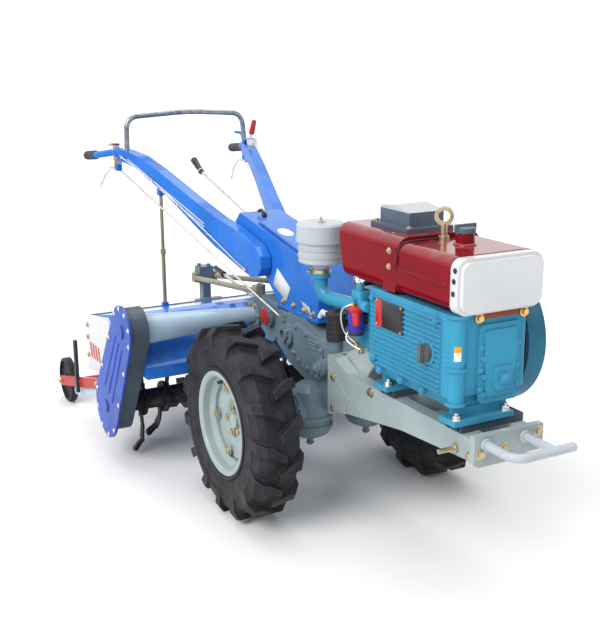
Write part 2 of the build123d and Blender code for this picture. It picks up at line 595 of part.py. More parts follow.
rods = [rod((-1318.4, s * 300, 1004), (-200, s * 110, 585), 4) for s in (-1, 1)]
pegs = [box((-206, -194), (s * 95, s * 118), (574, 596)) for s in (-1, 1)]
# throttle cable clipped along the right arm's outer face
face_way = Vector(-654, -165, 0).normalized()
face_out = Vector(-face_way.Y, face_way.X, 0)


def on_face(along, out, z):
    """Point on the arm's outer face, at a distance along it and out from it."""
    at = Vector(-651, -146, 0) + face_way * along + face_out * out
    return (at.X, at.Y, z)


cable = bent_tube([(-420, -139, 716), (-540, -139, 742), on_face(6, 5, 786),
                   on_face(390, 5, 974), on_face(650, 5, 1066)], [60, 60, 90], 2.5)
clips = [Plane(origin=on_face(t, 0, z), x_dir=face_way, z_dir=face_out) * Box(
    9, 12, 8, align=(Align.CENTER, Align.CENTER, Align.MIN))
    for t, z in ((60, 812.4), (250, 905.4), (420, 984.6), (635, 1060.7))]
clips.append(box((-440, -428), (-143, -134), (710, 726)))
keep("control_rods", *[joined(r, p) for r, p in zip(rods, pegs)], joined(cable, *clips))

# ================================================================ tiller drive
GEARCASE = [(-265, 500), (-265, 618), (-380, 630), (-474, 600), (-484, 524), (-430, 466),
            (-300, 470)]
gearcase = side(outline(GEARCASE, 16), -95, 95)
gear_space = side(offset(outline(GEARCASE), -CASE_WALL), -95 + CASE_WALL, 95 - CASE_WALL)
flange = rod((TUBE_AXIS[0], -94, TUBE_AXIS[1]), (TUBE_AXIS[0], -110, TUBE_AXIS[1]), 50)
boss = rod((-312, -94, 566), (-312, -112, 566), 38)
red_cap = rod((-312, -112, 566), (-312, -120, 566), 30)
ears = [box((-422, -384), (s * 80, s * 95), (590, 664)) for s in (-1, 1)]
pad = rod((-470, TILLER_LEVER[0][1], TILLER_LEVER[0][2]), TILLER_LEVER[0], 14)
keep("tiller_gearcase", joined(gearcase, flange, boss, red_cap, pad, *ears) - gear_space)
tube = rod((TUBE_AXIS[0], -110, TUBE_AXIS[1]), (TUBE_AXIS[0], CASE_Y[1], TUBE_AXIS[1]), 28, 54)
tube -= rod((TUBE_AXIS[0], -109, TUBE_AXIS[1]), (TUBE_AXIS[0], CASE_Y[1] - 1, TUBE_AXIS[1]), 23, 49)
keep("tiller_tube", tube)
case = side(capsule(TUBE_AXIS, 84, ROTOR_AXIS, 94), *CASE_Y)
case -= side(capsule(TUBE_AXIS, 76, ROTOR_AXIS, 86), CASE_Y[0] - 1, CASE_Y[1] - 8)
journal = rod((ROTOR_AXIS[0], -SIDE_Y, ROTOR_AXIS[1]), (ROTOR_AXIS[0], SIDE_Y, ROTOR_AXIS[1]),
              ROTOR_SHAFT_R + FIT)
keep("chain_case", case - journal)
cover = side(capsule(TUBE_AXIS, 94, ROTOR_AXIS, 120), *COVER_Y)
bosses = [rod((x, COVER_Y[0] - 5, z), (x, COVER_Y[0] + 1, z), 24) for x, z in (TUBE_AXIS, ROTOR_AXIS)]
keep("chain_cover", joined(cover, *bosses))

# ================================================================ rotor
def blade_set(y):
    """Holder disc with two slim blades, curved back and bent to opposite sides."""
    disc = rod((0, y - 5, 0), (0, y + 5, 0), 60)
    back = 12.0               # how far the blade's outer half stands back of its root
    tip_z = (BLADE_R ** 2 - (back + BLADE_WIDE) ** 2) ** 0.5 - 1
    half = BLADE_WIDE / 2
    parts = [disc]
    for i in range(2):
        s = 1 if i % 2 else -1
        shank = side(outline([(-half, 30), (half, 30), (half, 92), (back + BLADE_WIDE, 140),
                              (back + BLADE_WIDE, 164), (back, 164), (-half, 106)]),
                     y + s * 5, y + s * 12)
        tip = cross(outline([(y + s * 5, 156), (y + s * 12, 150), (y + s * 44, tip_z - 14),
                             (y + s * 46, tip_z), (y + s * 34, tip_z)]), back, back + BLADE_WIDE)
        parts.append(Rot(0, 180 * i, 0) * joined(shank, tip))
    return joined(*parts)


HOLDERS = [(-480 + 87 * i, 168 + 30 * i) for i in range(12)]
spindle = joined(rod((0, -538, 0), (0, 538, 0), ROTOR_TUBE_R),
                 rod((0, -590, 0), (0, 590, 0), ROTOR_SHAFT_R))
rotor = joined(spindle, *[Rot(0, a, 0) * blade_set(y) for y, a in HOLDERS])
rotor -= rod((0, -520, 0), (0, 520, 0), ROTOR_TUBE_R - ROTOR_TUBE_WALL)
keep("tiller_rotor", Pos(ROTOR_AXIS[0], 0, ROTOR_AXIS[1]) * rotor)

# ================================================================ hood
HOOD = [(-392, 372), (-392, 415), (-520, 520), (-600, 548), (-660, 545), (-1043, 456),
        (-1043, 300)]


def sheet_path(points, t):
    """Outline of a folded sheet of thickness t that follows the points."""
    wire = Polyline(*points)
    return make_face(offset(wire, t, side=Side.RIGHT, closed=True))


skin = side(sheet_path(HOOD, SHEET), -545, 545)
ends = [side(outline(HOOD + [(-990, 250), (-760, 250), (-700, 372)]), y, y + SHEET)
        for y in (-545, 545 - SHEET)]
prop_foot = box((PROP[0] - 11, PROP[0] + 11), (PROP[1] - 12, PROP[1] + 12), (458, 478))
keep("tiller_hood", joined(skin, *ends, prop_foot))

shield = side(outline([(-1060, 458), (-1050, 235), (-770, 285), (-740, 470), (-800, 506)], 8),
              -562, -545) - side(outline([(-1056, 455), (-1047, 239), (-773, 289), (-744, 468),
                                          (-801, 502)], 6), -559, -544)
keep("side_shields", shield, mirrored(shield))
left_end = side(capsule(ROTOR_AXIS, 70, (-520, 420), 50), 545, 553)
bearing = rod((ROTOR_AXIS[0], 553, ROTOR_AXIS[1]), (ROTOR_AXIS[0], SIDE_Y, ROTOR_AXIS[1]), 52, 40)
socket = rod((ROTOR_AXIS[0], 540, ROTOR_AXIS[1]), (ROTOR_AXIS[0], 592, ROTOR_AXIS[1]),
             ROTOR_SHAFT_R + FIT)
keep("rotor_bearing", joined(left_end, bearing) - socket)

# ================================================================ depth wheels and tail gear
TX, TY, TR = TAIL_WHEEL
arms = []
for s in (-1, 1):
    bar = flat_bar((-820, s * 591, 240), (TX, s * 591, TR), 42, 12)
    pin = rod((TX, s * 597, TR), (TX, s * 548, TR), 8)
    foot = rod((-820, s * 545, 240), (-820, s * 592, 240), 18)
    arms.append(joined(bar, foot, pin))
cross_tube = rod((-1110, -586, 166), (-1110, 586, 166), 16)
keep("depth_arms", joined(arms[0], cross_tube, arms[1]))
tail = turned([(8 + FIT, -18), (8 + FIT, 18), (26, 18), (26, 5), (84, 5), (84, 18), (TR, 14),
               (TR, -14), (84, -18), (84, -5), (26, -5), (26, -18)], (TX, 0, TR))
for name, s in (("right", -1), ("left", 1)):
    keep(f"{name}_depth_wheel", Pos(0, s * TY, 0) * tail)
posts = [box((-1092, -1074), (s * 597, s * 611), (130, 352))
         for s in (-1, 1)]
head = joined(box((-1170, -1118), (-32, 32), (516, 588)), box((-1158, -1118), (-18, 18), (433, 520)),
              box((-1120, -1047), (-60, 60), (436, 452)))
screw = rod((-1138, 0, 182), (-1138, 0, 434), 10)
set_screw = joined(rod((-1168, -12, 556), (-1206, -12, 556), 6),
                   rod((-1186, -12, 556), (-1198, -12, 556), 12))
nuts = [rod((x, y, 586), (x, y, 598), 8) for x, y in ((-1156, -18), (-1132, 16))]
keep("tail_posts", joined(head, screw, set_screw, *nuts), *posts)
stays = [joined(rod((-1134, s * 44, 540), (-404, s * 109, 640), 11),
                box((-1160, -1122), (s * 32, s * 52), (522, 560)),
                box((-422, -386), (s * 95, s * 116), (622, 660))) for s in (-1, 1)]
prop = joined(rod((*PROP, 478), (*PROP, 700), 8), rod((*PROP, 690), (*PROP, 950), 7),
              rod((*PROP, 682), (*PROP, 702), 11))
keep("tail_stays", *stays, prop)
keep("tail_bars", *[flat_bar((-881, s * 581, 190), (-1187, s * 581, 103), 34, 8)
                    for s in (-1, 1)])

# ================================================================ export
os.makedirs("parts", exist_ok=True)
for name, solids in NODES.items():
    moved = [Pos(-MID_X, 0, 0) * solid for solid in solids]
    export_step(moved[0] if len(moved) == 1 else Compound(moved), f"parts/{name}.step")
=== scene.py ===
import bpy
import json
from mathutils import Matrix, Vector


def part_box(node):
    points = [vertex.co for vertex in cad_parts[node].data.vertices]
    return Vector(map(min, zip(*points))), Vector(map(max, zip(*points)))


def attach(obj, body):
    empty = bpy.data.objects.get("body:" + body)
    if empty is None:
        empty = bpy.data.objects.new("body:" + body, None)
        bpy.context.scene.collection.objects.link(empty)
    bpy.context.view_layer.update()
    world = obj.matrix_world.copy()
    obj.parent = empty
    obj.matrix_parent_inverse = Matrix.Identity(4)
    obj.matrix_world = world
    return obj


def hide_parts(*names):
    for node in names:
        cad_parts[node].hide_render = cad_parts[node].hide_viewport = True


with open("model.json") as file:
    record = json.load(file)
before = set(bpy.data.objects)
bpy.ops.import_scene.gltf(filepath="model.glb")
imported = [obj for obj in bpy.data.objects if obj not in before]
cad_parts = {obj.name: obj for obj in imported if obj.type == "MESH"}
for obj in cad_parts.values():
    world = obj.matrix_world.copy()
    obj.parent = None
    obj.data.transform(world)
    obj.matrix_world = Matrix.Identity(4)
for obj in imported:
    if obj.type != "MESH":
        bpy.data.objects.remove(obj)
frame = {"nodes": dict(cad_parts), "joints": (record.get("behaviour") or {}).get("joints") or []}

"""Dresses the walking tractor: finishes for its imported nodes, and its small fittings.

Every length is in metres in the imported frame: +X to the front, +Y to the left, +Z up.
"""
import json
import logging
from dataclasses import dataclass
from enum import Enum
from math import atan2, cos, pi, radians, sin
from typing import Iterable, Sequence

import bmesh
import bpy
from mathutils import Matrix, Vector

log = logging.getLogger("walking_tractor")
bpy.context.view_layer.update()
Point = tuple[float, float, float]
Flat = tuple[float, float]
Triple = tuple[float, float, float]
Colour = tuple[float, float, float]
Patch = tuple[Point, Point, Colour]

FRONT: Point = (1, 0, 0)
BACK: Point = (-1, 0, 0)
LEFT: Point = (0, 1, 0)
RIGHT: Point = (0, -1, 0)
UP: Point = (0, 0, 1)
DOWN: Point = (0, 0, -1)
# How far a small piece is sunk into what it stands on.
SUNK = 0.001


# ============================================================ shader graphs
class Value:
    """A shader socket that takes part in arithmetic."""

    def __init__(self, graph: "Graph", socket: bpy.types.NodeSocket) -> None:
        """Wraps one output socket of a graph."""
        self.graph = graph
        self.socket = socket

    def _math(self, operation: str, *terms: "Value | float") -> "Value":
        """Adds a Math node over the terms."""
        return self.graph.add("ShaderNodeMath", {"operation": operation},
                              dict(enumerate(terms)))

    def __add__(self, other: "Value | float") -> "Value":
        """Sum."""
        return self._math("ADD", self, other)

    __radd__ = __add__

    def __mul__(self, other: "Value | float") -> "Value":
        """Product."""
        return self._math("MULTIPLY", self, other)

    __rmul__ = __mul__

    def __sub__(self, other: "Value | float") -> "Value":
        """Difference."""
        return self._math("SUBTRACT", self, other)

    def __rsub__(self, other: float) -> "Value":
        """Reflected difference."""
        return self._math("SUBTRACT", other, self)

    def __pow__(self, other: float) -> "Value":
        """Power."""
        return self._math("POWER", self, other)

    def sine(self) -> "Value":
        """Sine of the value."""
        return self._math("SINE", self)

    def within(self, low: float, high: float) -> "Value":
        """1 where the value is between low and high, and 0 elsewhere."""
        return self._math("COMPARE", self, (low + high) / 2, (high - low) / 2)

    def rise(self, low: float, high: float) -> "Value":
        """Smooth step from 0 at low to 1 at high.

        Args:
            low: where the step starts.
            high: where it is complete.

        Returns:
            The stepped value.
        """
        return self.graph.add("ShaderNodeMapRange", {"interpolation_type": "SMOOTHSTEP"},
                              {"Value": self, "From Min": low, "From Max": high})


class Graph:
    """The nodes of one material."""

    def __init__(self, name: str) -> None:
        """Starts an empty material.

        Args:
            name: the material's name.
        """
        self.material = bpy.data.materials.new(name)
        self.material.use_nodes = True
        self.tree = self.material.node_tree
        self.tree.nodes.clear()

    def add(self, kind: str, settings: dict | None = None,
            inputs: dict | None = None, output: int | str = 0) -> Value:
        """Adds any node.

        Args:
            kind: the node's type.
            settings: its own settings, made first.
            inputs: socket name or number to a value, a number or a colour.
            output: the output socket wanted.

        Returns:
            That output, wrapped.
        """
        node = self.tree.nodes.new(kind)
        for key, value in (settings or {}).items():
            setattr(node, key, value)
        for key, value in (inputs or {}).items():
            if isinstance(value, Value):
                self.tree.links.new(value.socket, node.inputs[key])
            else:
                node.inputs[key].default_value = value
        return Value(self, node.outputs[output])

    def place(self) -> Value:
        """Position on the object, in metres."""
        return self.add("ShaderNodeTexCoord", output="Object")

    def split(self, vector: Value) -> tuple[Value, Value, Value]:
        """The three parts of a vector."""
        node = self.add("ShaderNodeSeparateXYZ", None, {0: vector}).socket.node
        return tuple(Value(self, socket) for socket in node.outputs)

    def noise(self, vector: Value, scale: float, detail: float = 3.0,
              rough: float = 0.55) -> Value:
        """Noise between about 0 and 1.

        Args:
            vector: where it is read.
            scale: how fine it is.
            detail: how many finer layers it has.
            rough: how strong they are.

        Returns:
            The noise.
        """
        return self.add("ShaderNodeTexNoise", None, {
            "Vector": vector, "Scale": scale, "Detail": detail, "Roughness": rough})

    def cells(self, vector: Value, scale: float) -> Value:
        """Distance to scattered points."""
        return self.add("ShaderNodeTexVoronoi", None, {"Vector": vector, "Scale": scale})

    def mix(self, low: Value | Colour, high: Value | Colour, factor: Value) -> Value:
        """Blend of two colours.

        Args:
            low: the colour where the factor is 0.
            high: the colour where it is 1.
            factor: how much of high there is.

        Returns:
            The blend.
        """
        def filled(colour: Value | Colour) -> Value | tuple:
            """The colour, with its alpha where it is typed."""
            return colour if isinstance(colour, Value) else (*colour, 1.0)
        return self.add("ShaderNodeMix", {"data_type": "RGBA"}, {
            0: factor, 6: filled(low), 7: filled(high)}, output=2)

    def patched(self, at: Value, colour: Value, patches: Iterable[Patch]) -> Value:
        """Lays boxes of other colours over a colour.

        Args:
            at: the position on the object.
            colour: the colour below.
            patches: the boxes, as (low corner, high corner, colour).

        Returns:
            The patched colour.
        """
        for low, high, other in patches:
            x, y, z = (part.within(a, b) for part, a, b in zip(self.split(at), low, high))
            colour = self.mix(colour, other, x * y * z)
        return colour

    def facing_up(self) -> Value:
        """How far the surface faces upward, from -1 to 1."""
        return self.split(self.add("ShaderNodeNewGeometry", output="Normal"))[2]

    def rounded(self, radius: float) -> Value:
        """Surface normal with its sharp edges rounded."""
        return self.add("ShaderNodeBevel", {"samples": 4}, {"Radius": radius})

    def edge(self, rounded: Value) -> Value:
        """1 on sharp edges and 0 on flat faces.

        Args:
            rounded: the surface normal with its sharp edges rounded.

        Returns:
            The mask.
        """
        true = self.add("ShaderNodeNewGeometry", output="Normal")
        dot = self.add("ShaderNodeVectorMath", {"operation": "DOT_PRODUCT"},
                       {0: rounded, 1: true}, output="Value")
        return (1.0 - dot).rise(0.02, 0.22)

    def bump(self, height: Value, distance: float, base: Value) -> Value:
        """A normal bumped by a height.

        Args:
            height: the height, in units of the distance.
            distance: how far a height of 1 stands out.
            base: the normal below.

        Returns:
            The bumped normal.
        """
        return self.add("ShaderNodeBump", None, {
            "Height": height, "Distance": distance, "Strength": 1.0, "Normal": base})

    def surface(self, **sockets: Value | float | tuple) -> bpy.types.Material:
        """Closes the material with its shader.

        Args:
            sockets: the shader's sockets, with _ for a space in each name.

        Returns:
            The finished material.
        """
        shader = self.add("ShaderNodeBsdfPrincipled", None, {
            key.replace("_", " "): value for key, value in sockets.items()})
        out = self.tree.nodes.new("ShaderNodeOutputMaterial")
        self.tree.links.new(shader.socket, out.inputs["Surface"])
        return self.material


DUST: Colour = (0.50, 0.45, 0.36)


@dataclass(frozen=True)
class Paint:
    """Sprayed enamel over metal.

    Attributes:
        name: the material's name.
        colour: the clean colour.
        deep: the colour of its darker clouds.
        rough: roughness of clean paint.
        coat: weight of the clear coat on faces that look up.
        grain: height of the surface's texture.
        grain_scale: how fine that texture is.
        dust: how much dust lies on upward faces and low down.
        worn: how much lighter its edges are.
        edge_radius: rounding of sharp edges.
        cloud_scale: how fine the clouds of darker colour are.
        splash: heights between which the dust thrown up from the ground fades.
        side_coat: weight of the clear coat on upright faces.
        patches: places painted another colour, as (low corner, high corner, colour); on the tank
            tops this is a painted highlight.
    """
    name: str
    colour: Colour
    deep: Colour
    rough: float = 0.28
    coat: float = 0.6
    grain: float = 0.00025
    grain_scale: float = 90.0
    dust: float = 0.18
    worn: float = 0.35
    edge_radius: float = 0.0025
    cloud_scale: float = 5.0
    splash: Flat = (0.05, 0.75)
    side_coat: float = 0.06
    patches: tuple[Patch, ...] = ()

    def material(self) -> bpy.types.Material:
        """Builds the paint's material."""
        g = Graph(self.name)
        at = g.place()
        cloud = g.noise(at, self.cloud_scale, 4.0)
        fine = g.noise(at, self.grain_scale, 2.0)
        specks = g.noise(at, 420.0, 2.0)
        colour = g.mix(self.deep, self.colour, cloud.rise(0.3, 0.62))
        colour = g.patched(at, colour, self.patches)
        rounded = g.rounded(self.edge_radius)
        edge = g.edge(rounded) * specks.rise(0.35, 0.6) * self.worn
        pale = tuple(0.55 * part + 0.42 for part in self.colour)
        colour = g.mix(colour, pale, edge)
        low_down = 1.0 - g.split(at)[2].rise(*self.splash)
        film = g.noise(at, 14.0, 5.0, 0.7).rise(0.42, 0.72)
        dust = (g.facing_up().rise(0.2, 0.95) * 0.6 + low_down * 0.45) * film * self.dust
        colour = g.mix(colour, DUST, dust)
        return g.surface(Base_Color=colour,
                         Roughness=dust * 0.5 + cloud * 0.08 + (self.rough - 0.04),
                         Normal=g.bump(fine, self.grain, rounded), Specular_IOR_Level=0.05,
                         Coat_Weight=g.facing_up().rise(0.1, 0.7) * self.coat + self.side_coat,
                         Coat_Roughness=0.08)


@dataclass(frozen=True)
class TyreRubber:
    """Moulded tyre rubber with fine moulding rings on its side walls.

    Attributes:
        name: the material's name.
        centre: the wheel axis (x, z) that the rings run round.
        inner: radius where the rings start.
        outer: radius where they end.
        colour: the clean rubber's colour.
        faded: the colour of its paler clouds.
        scuffed: the colour of its edges.
        ring_pitch: radians of the rings' wave in a metre.
        ring_fade: width over which the rings start and end.
    """
    name: str
    centre: Flat
    inner: float
    outer: float
    colour: Colour = (0.014, 0.014, 0.017)
    faded: Colour = (0.034, 0.034, 0.039)
    scuffed: Colour = (0.16, 0.16, 0.18)
    ring_pitch: float = 900.0
    ring_fade: float = 0.004

    def material(self) -> bpy.types.Material:
        """Builds the rubber's material."""
        g = Graph(self.name)
        at = g.place()
        x, _, z = g.split(at)
        dx, dz = x - self.centre[0], z - self.centre[1]
        radius = (dx * dx + dz * dz) ** 0.5
        zone = radius.rise(self.inner, self.inner + self.ring_fade) * (
            1.0 - radius.rise(self.outer - self.ring_fade, self.outer))
        rings = (radius * self.ring_pitch).sine() * zone
        fine = g.noise(at, 210.0, 3.0)
        cloud = g.noise(at, 11.0, 5.0, 0.65)
        colour = g.mix(self.colour, self.faded, cloud.rise(0.3, 0.75))
        rounded = g.rounded(0.005)
        colour = g.mix(colour, self.scuffed, g.edge(rounded) * 0.4)
        dust = cloud.rise(0.5, 0.8) * (1.0 - z.rise(0.02, 0.45)) * 0.06
        colour = g.mix(colour, DUST, dust)
        height = fine * 0.35 + rings * 0.6
        return g.surface(Base_Color=colour, Roughness=0.42 + fine * 0.16,
                         Normal=g.bump(height, 0.0008, rounded), Specular_IOR_Level=0.15)


@dataclass(frozen=True)
class Metal:
    """Bare or plated metal with brushing and a little tarnish.

    Attributes:
        name: the material's name.
        colour: bright colour.
        tarnish: colour of its dull clouds.
        rough: roughness of the bright metal.
        edge_radius: rounding of sharp edges.
        grain: height of its brushing.
    """
    name: str
    colour: Colour
    tarnish: Colour
    rough: float = 0.3
    edge_radius: float = 0.0012
    grain: float = 0.0002

    def material(self) -> bpy.types.Material:
        """Builds the metal's material."""
        g = Graph(self.name)
        at = g.place()
        cloud = g.noise(at, 38.0, 4.0, 0.6)
        fine = g.noise(at, 600.0, 2.0)
        colour = g.mix(self.colour, self.tarnish, cloud.rise(0.45, 0.75))
        return g.surface(Base_Color=colour, Metallic=0.9 - cloud.rise(0.55, 0.85) * 0.25,
                         Roughness=fine * 0.14 + cloud * 0.12 + (self.rough - 0.1),
                         Normal=g.bump(fine, self.grain, g.rounded(self.edge_radius)))


@dataclass(frozen=True)
class Moulded:
    """Moulded plastic or soft rubber.

    Attributes:
        name: the material's name.
        colour: its colour.
        rough: its roughness.
        grain: height of its leather-like grain.
        patches: places of another colour, as (low corner, high corner, colour).
        edge_radius: rounding of sharp edges.
    """
    name: str
    colour: Colour
    rough: float = 0.45
    grain: float = 0.0004
    patches: tuple[Patch, ...] = ()
    edge_radius: float = 0.0015

    def material(self) -> bpy.types.Material:
        """Builds the moulded material."""
        g = Graph(self.name)
        at = g.place()
        cells = g.cells(at, 330.0)
        cloud = g.noise(at, 26.0, 4.0)
        deep = tuple(0.65 * part for part in self.colour)
        colour = g.mix(deep, self.colour, cloud.rise(0.3, 0.7))
        return g.surface(Base_Color=g.patched(at, colour, self.patches),
                         Roughness=cloud * 0.1 + self.rough,
                         Normal=g.bump(cells, self.grain, g.rounded(self.edge_radius)))


class Finish(Enum):
    """The finishes of the machine, by the material each one makes."""
    BLUE = Paint("vivid_blue_enamel", (0.024, 0.180, 0.640), (0.019, 0.144, 0.550), 0.26, 0.7)
    COVER = Paint("cover_blue_enamel", (0.026, 0.085, 0.450), (0.018, 0.060, 0.350), 0.26, 0.7)
    CRIMSON = Paint("crimson_enamel", (0.235, 0.003, 0.011), (0.190, 0.002, 0.008), 0.2, 1.0)
    WHITE = Paint("white_enamel", (0.66, 0.675, 0.69), (0.60, 0.615, 0.63), 0.3, 0.6, worn=0.1)
    TEAL = Paint("teal_engine_enamel", (0.044, 0.295, 0.470), (0.034, 0.235, 0.390), 0.3, 0.55,
                 grain=0.0006, patches=(
                     ((1.1085, -0.1325, 0.706), (1.126, -0.1155, 0.746), (0.74, 0.75, 0.76)),
                     ((1.1085, -0.1325, 0.730), (1.126, -0.1155, 0.746), (0.80, 0.36, 0.02))))
    TEAL_DARK = Paint("flywheel_enamel", (0.034, 0.175, 0.275), (0.025, 0.135, 0.220), 0.3, 0.5)
    SLATE = Paint("slate_case_enamel", (0.160, 0.230, 0.275), (0.125, 0.185, 0.225), 0.36, 0.4,
                  grain=0.0009, grain_scale=70.0)
    FRAME = Paint("pale_grey_green_enamel", (0.340, 0.410, 0.420), (0.280, 0.340, 0.350), 0.38,
                  0.35, dust=0.3)
    RIM = Paint("rim_grey_enamel", (0.350, 0.425, 0.420), (0.300, 0.365, 0.360), 0.34, 0.45)
    GRAPHITE = Paint("graphite_enamel", (0.072, 0.100, 0.130), (0.054, 0.078, 0.102), 0.4, 0.3,
                     grain=0.0006)
    SILVER_BLUE = Paint("silver_blue_enamel", (0.420, 0.560, 0.660), (0.350, 0.480, 0.580), 0.24,
                        0.8)
    RED = Paint("signal_red_enamel", (0.480, 0.030, 0.028), (0.380, 0.022, 0.022), 0.34, 0.4)
    BEIGE = Paint("beige_enamel", (0.330, 0.290, 0.190), (0.260, 0.230, 0.150), 0.42, 0.25)
    PALE_GREY = Paint("pale_grey_enamel", (0.460, 0.500, 0.540), (0.400, 0.440, 0.480), 0.3, 0.5)
    HEAT_BLACK = Paint("heat_black_enamel", (0.030, 0.030, 0.032), (0.018, 0.018, 0.020), 0.62,
                       0.0, grain=0.0009)
    TINE = Paint("tine_black_paint", (0.022, 0.022, 0.024), (0.014, 0.014, 0.016), 0.42, 0.25,
                 dust=0.3)
    POSTS = Paint("tail_post_enamel", (0.160, 0.230, 0.275), (0.125, 0.185, 0.225), 0.36, 0.4,
                  patches=(((-1.3, -0.7, 0.0), (-0.7, -0.3, 0.6), (0.035, 0.045, 0.055)),
                           ((-1.3, 0.3, 0.0), (-0.7, 0.7, 0.6), (0.035, 0.045, 0.055))))
    # The tank tops' pale patch over the box's top face is a painted highlight, standing in for
    # the reflection on that face.
    TOPS = Paint("tank_top_enamel", (0.110, 0.145, 0.195), (0.085, 0.115, 0.160), 0.3, 0.5,
                 patches=(((0.60, -0.07, 1.0452), (0.80, 0.07, 1.07), (0.46, 0.49, 0.53)),))
    KNOBS = Moulded("lever_knob_plastic", (0.018, 0.018, 0.020), 0.3, 0.0001,
                    (((-1.0, 0.20, 1.12), (-0.9, 0.40, 1.25), (0.42, 0.008, 0.016)),))
    BROWN = Paint("brown_strip_paint", (0.300, 0.085, 0.040), (0.210, 0.060, 0.030), 0.45, 0.2)
    HOOP = Metal("dull_chrome", (0.26, 0.29, 0.34), (0.12, 0.13, 0.16), 0.22)
    ZINC = Metal("yellow_zinc", (0.52, 0.44, 0.29), (0.30, 0.24, 0.15), 0.32)
    BRIGHT = Metal("bright_zinc", (0.68, 0.68, 0.66), (0.45, 0.44, 0.42), 0.3)
    BRASS = Metal("brass", (0.80, 0.48, 0.16), (0.50, 0.28, 0.10), 0.3)
    TYRE = TyreRubber("lugged_tyre_rubber", (0.285, 0.320), 0.182, 0.246)
    SMALL_TYRE = TyreRubber("depth_wheel_rubber", (-1.087, 0.096), 0.030, 0.082)
    BLACK_RUBBER = Moulded("soft_black_rubber", (0.022, 0.022, 0.024), 0.6)
    GRIP = Moulded("grip_rubber", (0.050, 0.055, 0.075), 0.5, 0.0008)
    RED_PLASTIC = Moulded("red_plastic", (0.62, 0.018, 0.030), 0.28, 0.0001)
    GREY_PLASTIC = Moulded("grey_plastic", (0.110, 0.115, 0.120), 0.4, 0.0002)
    BLACK_PLASTIC = Moulded("black_plastic", (0.018, 0.018, 0.019), 0.35, 0.0002)
    NAVY = Paint("navy_enamel", (0.050, 0.050, 0.340), (0.035, 0.035, 0.250), 0.25, 0.7)
    LABEL = Paint("blank_label", (0.74, 0.75, 0.76), (0.66, 0.67, 0.69), 0.35, 0.3, worn=0.0)

    def material(self) -> bpy.types.Material:
        """The finish's material, made once."""
        known = bpy.data.materials.get(self.value.name)
        return known or self.value.material()


# ============================================================ mesh making
@dataclass(frozen=True)
class Hex:
    """Size of a hexagon head.

    Attributes:
        across: size across its flats.
        tall: height of the head.
        washer: whether a washer lies under it.
    """
    across: float
    tall: float
    washer: bool = True


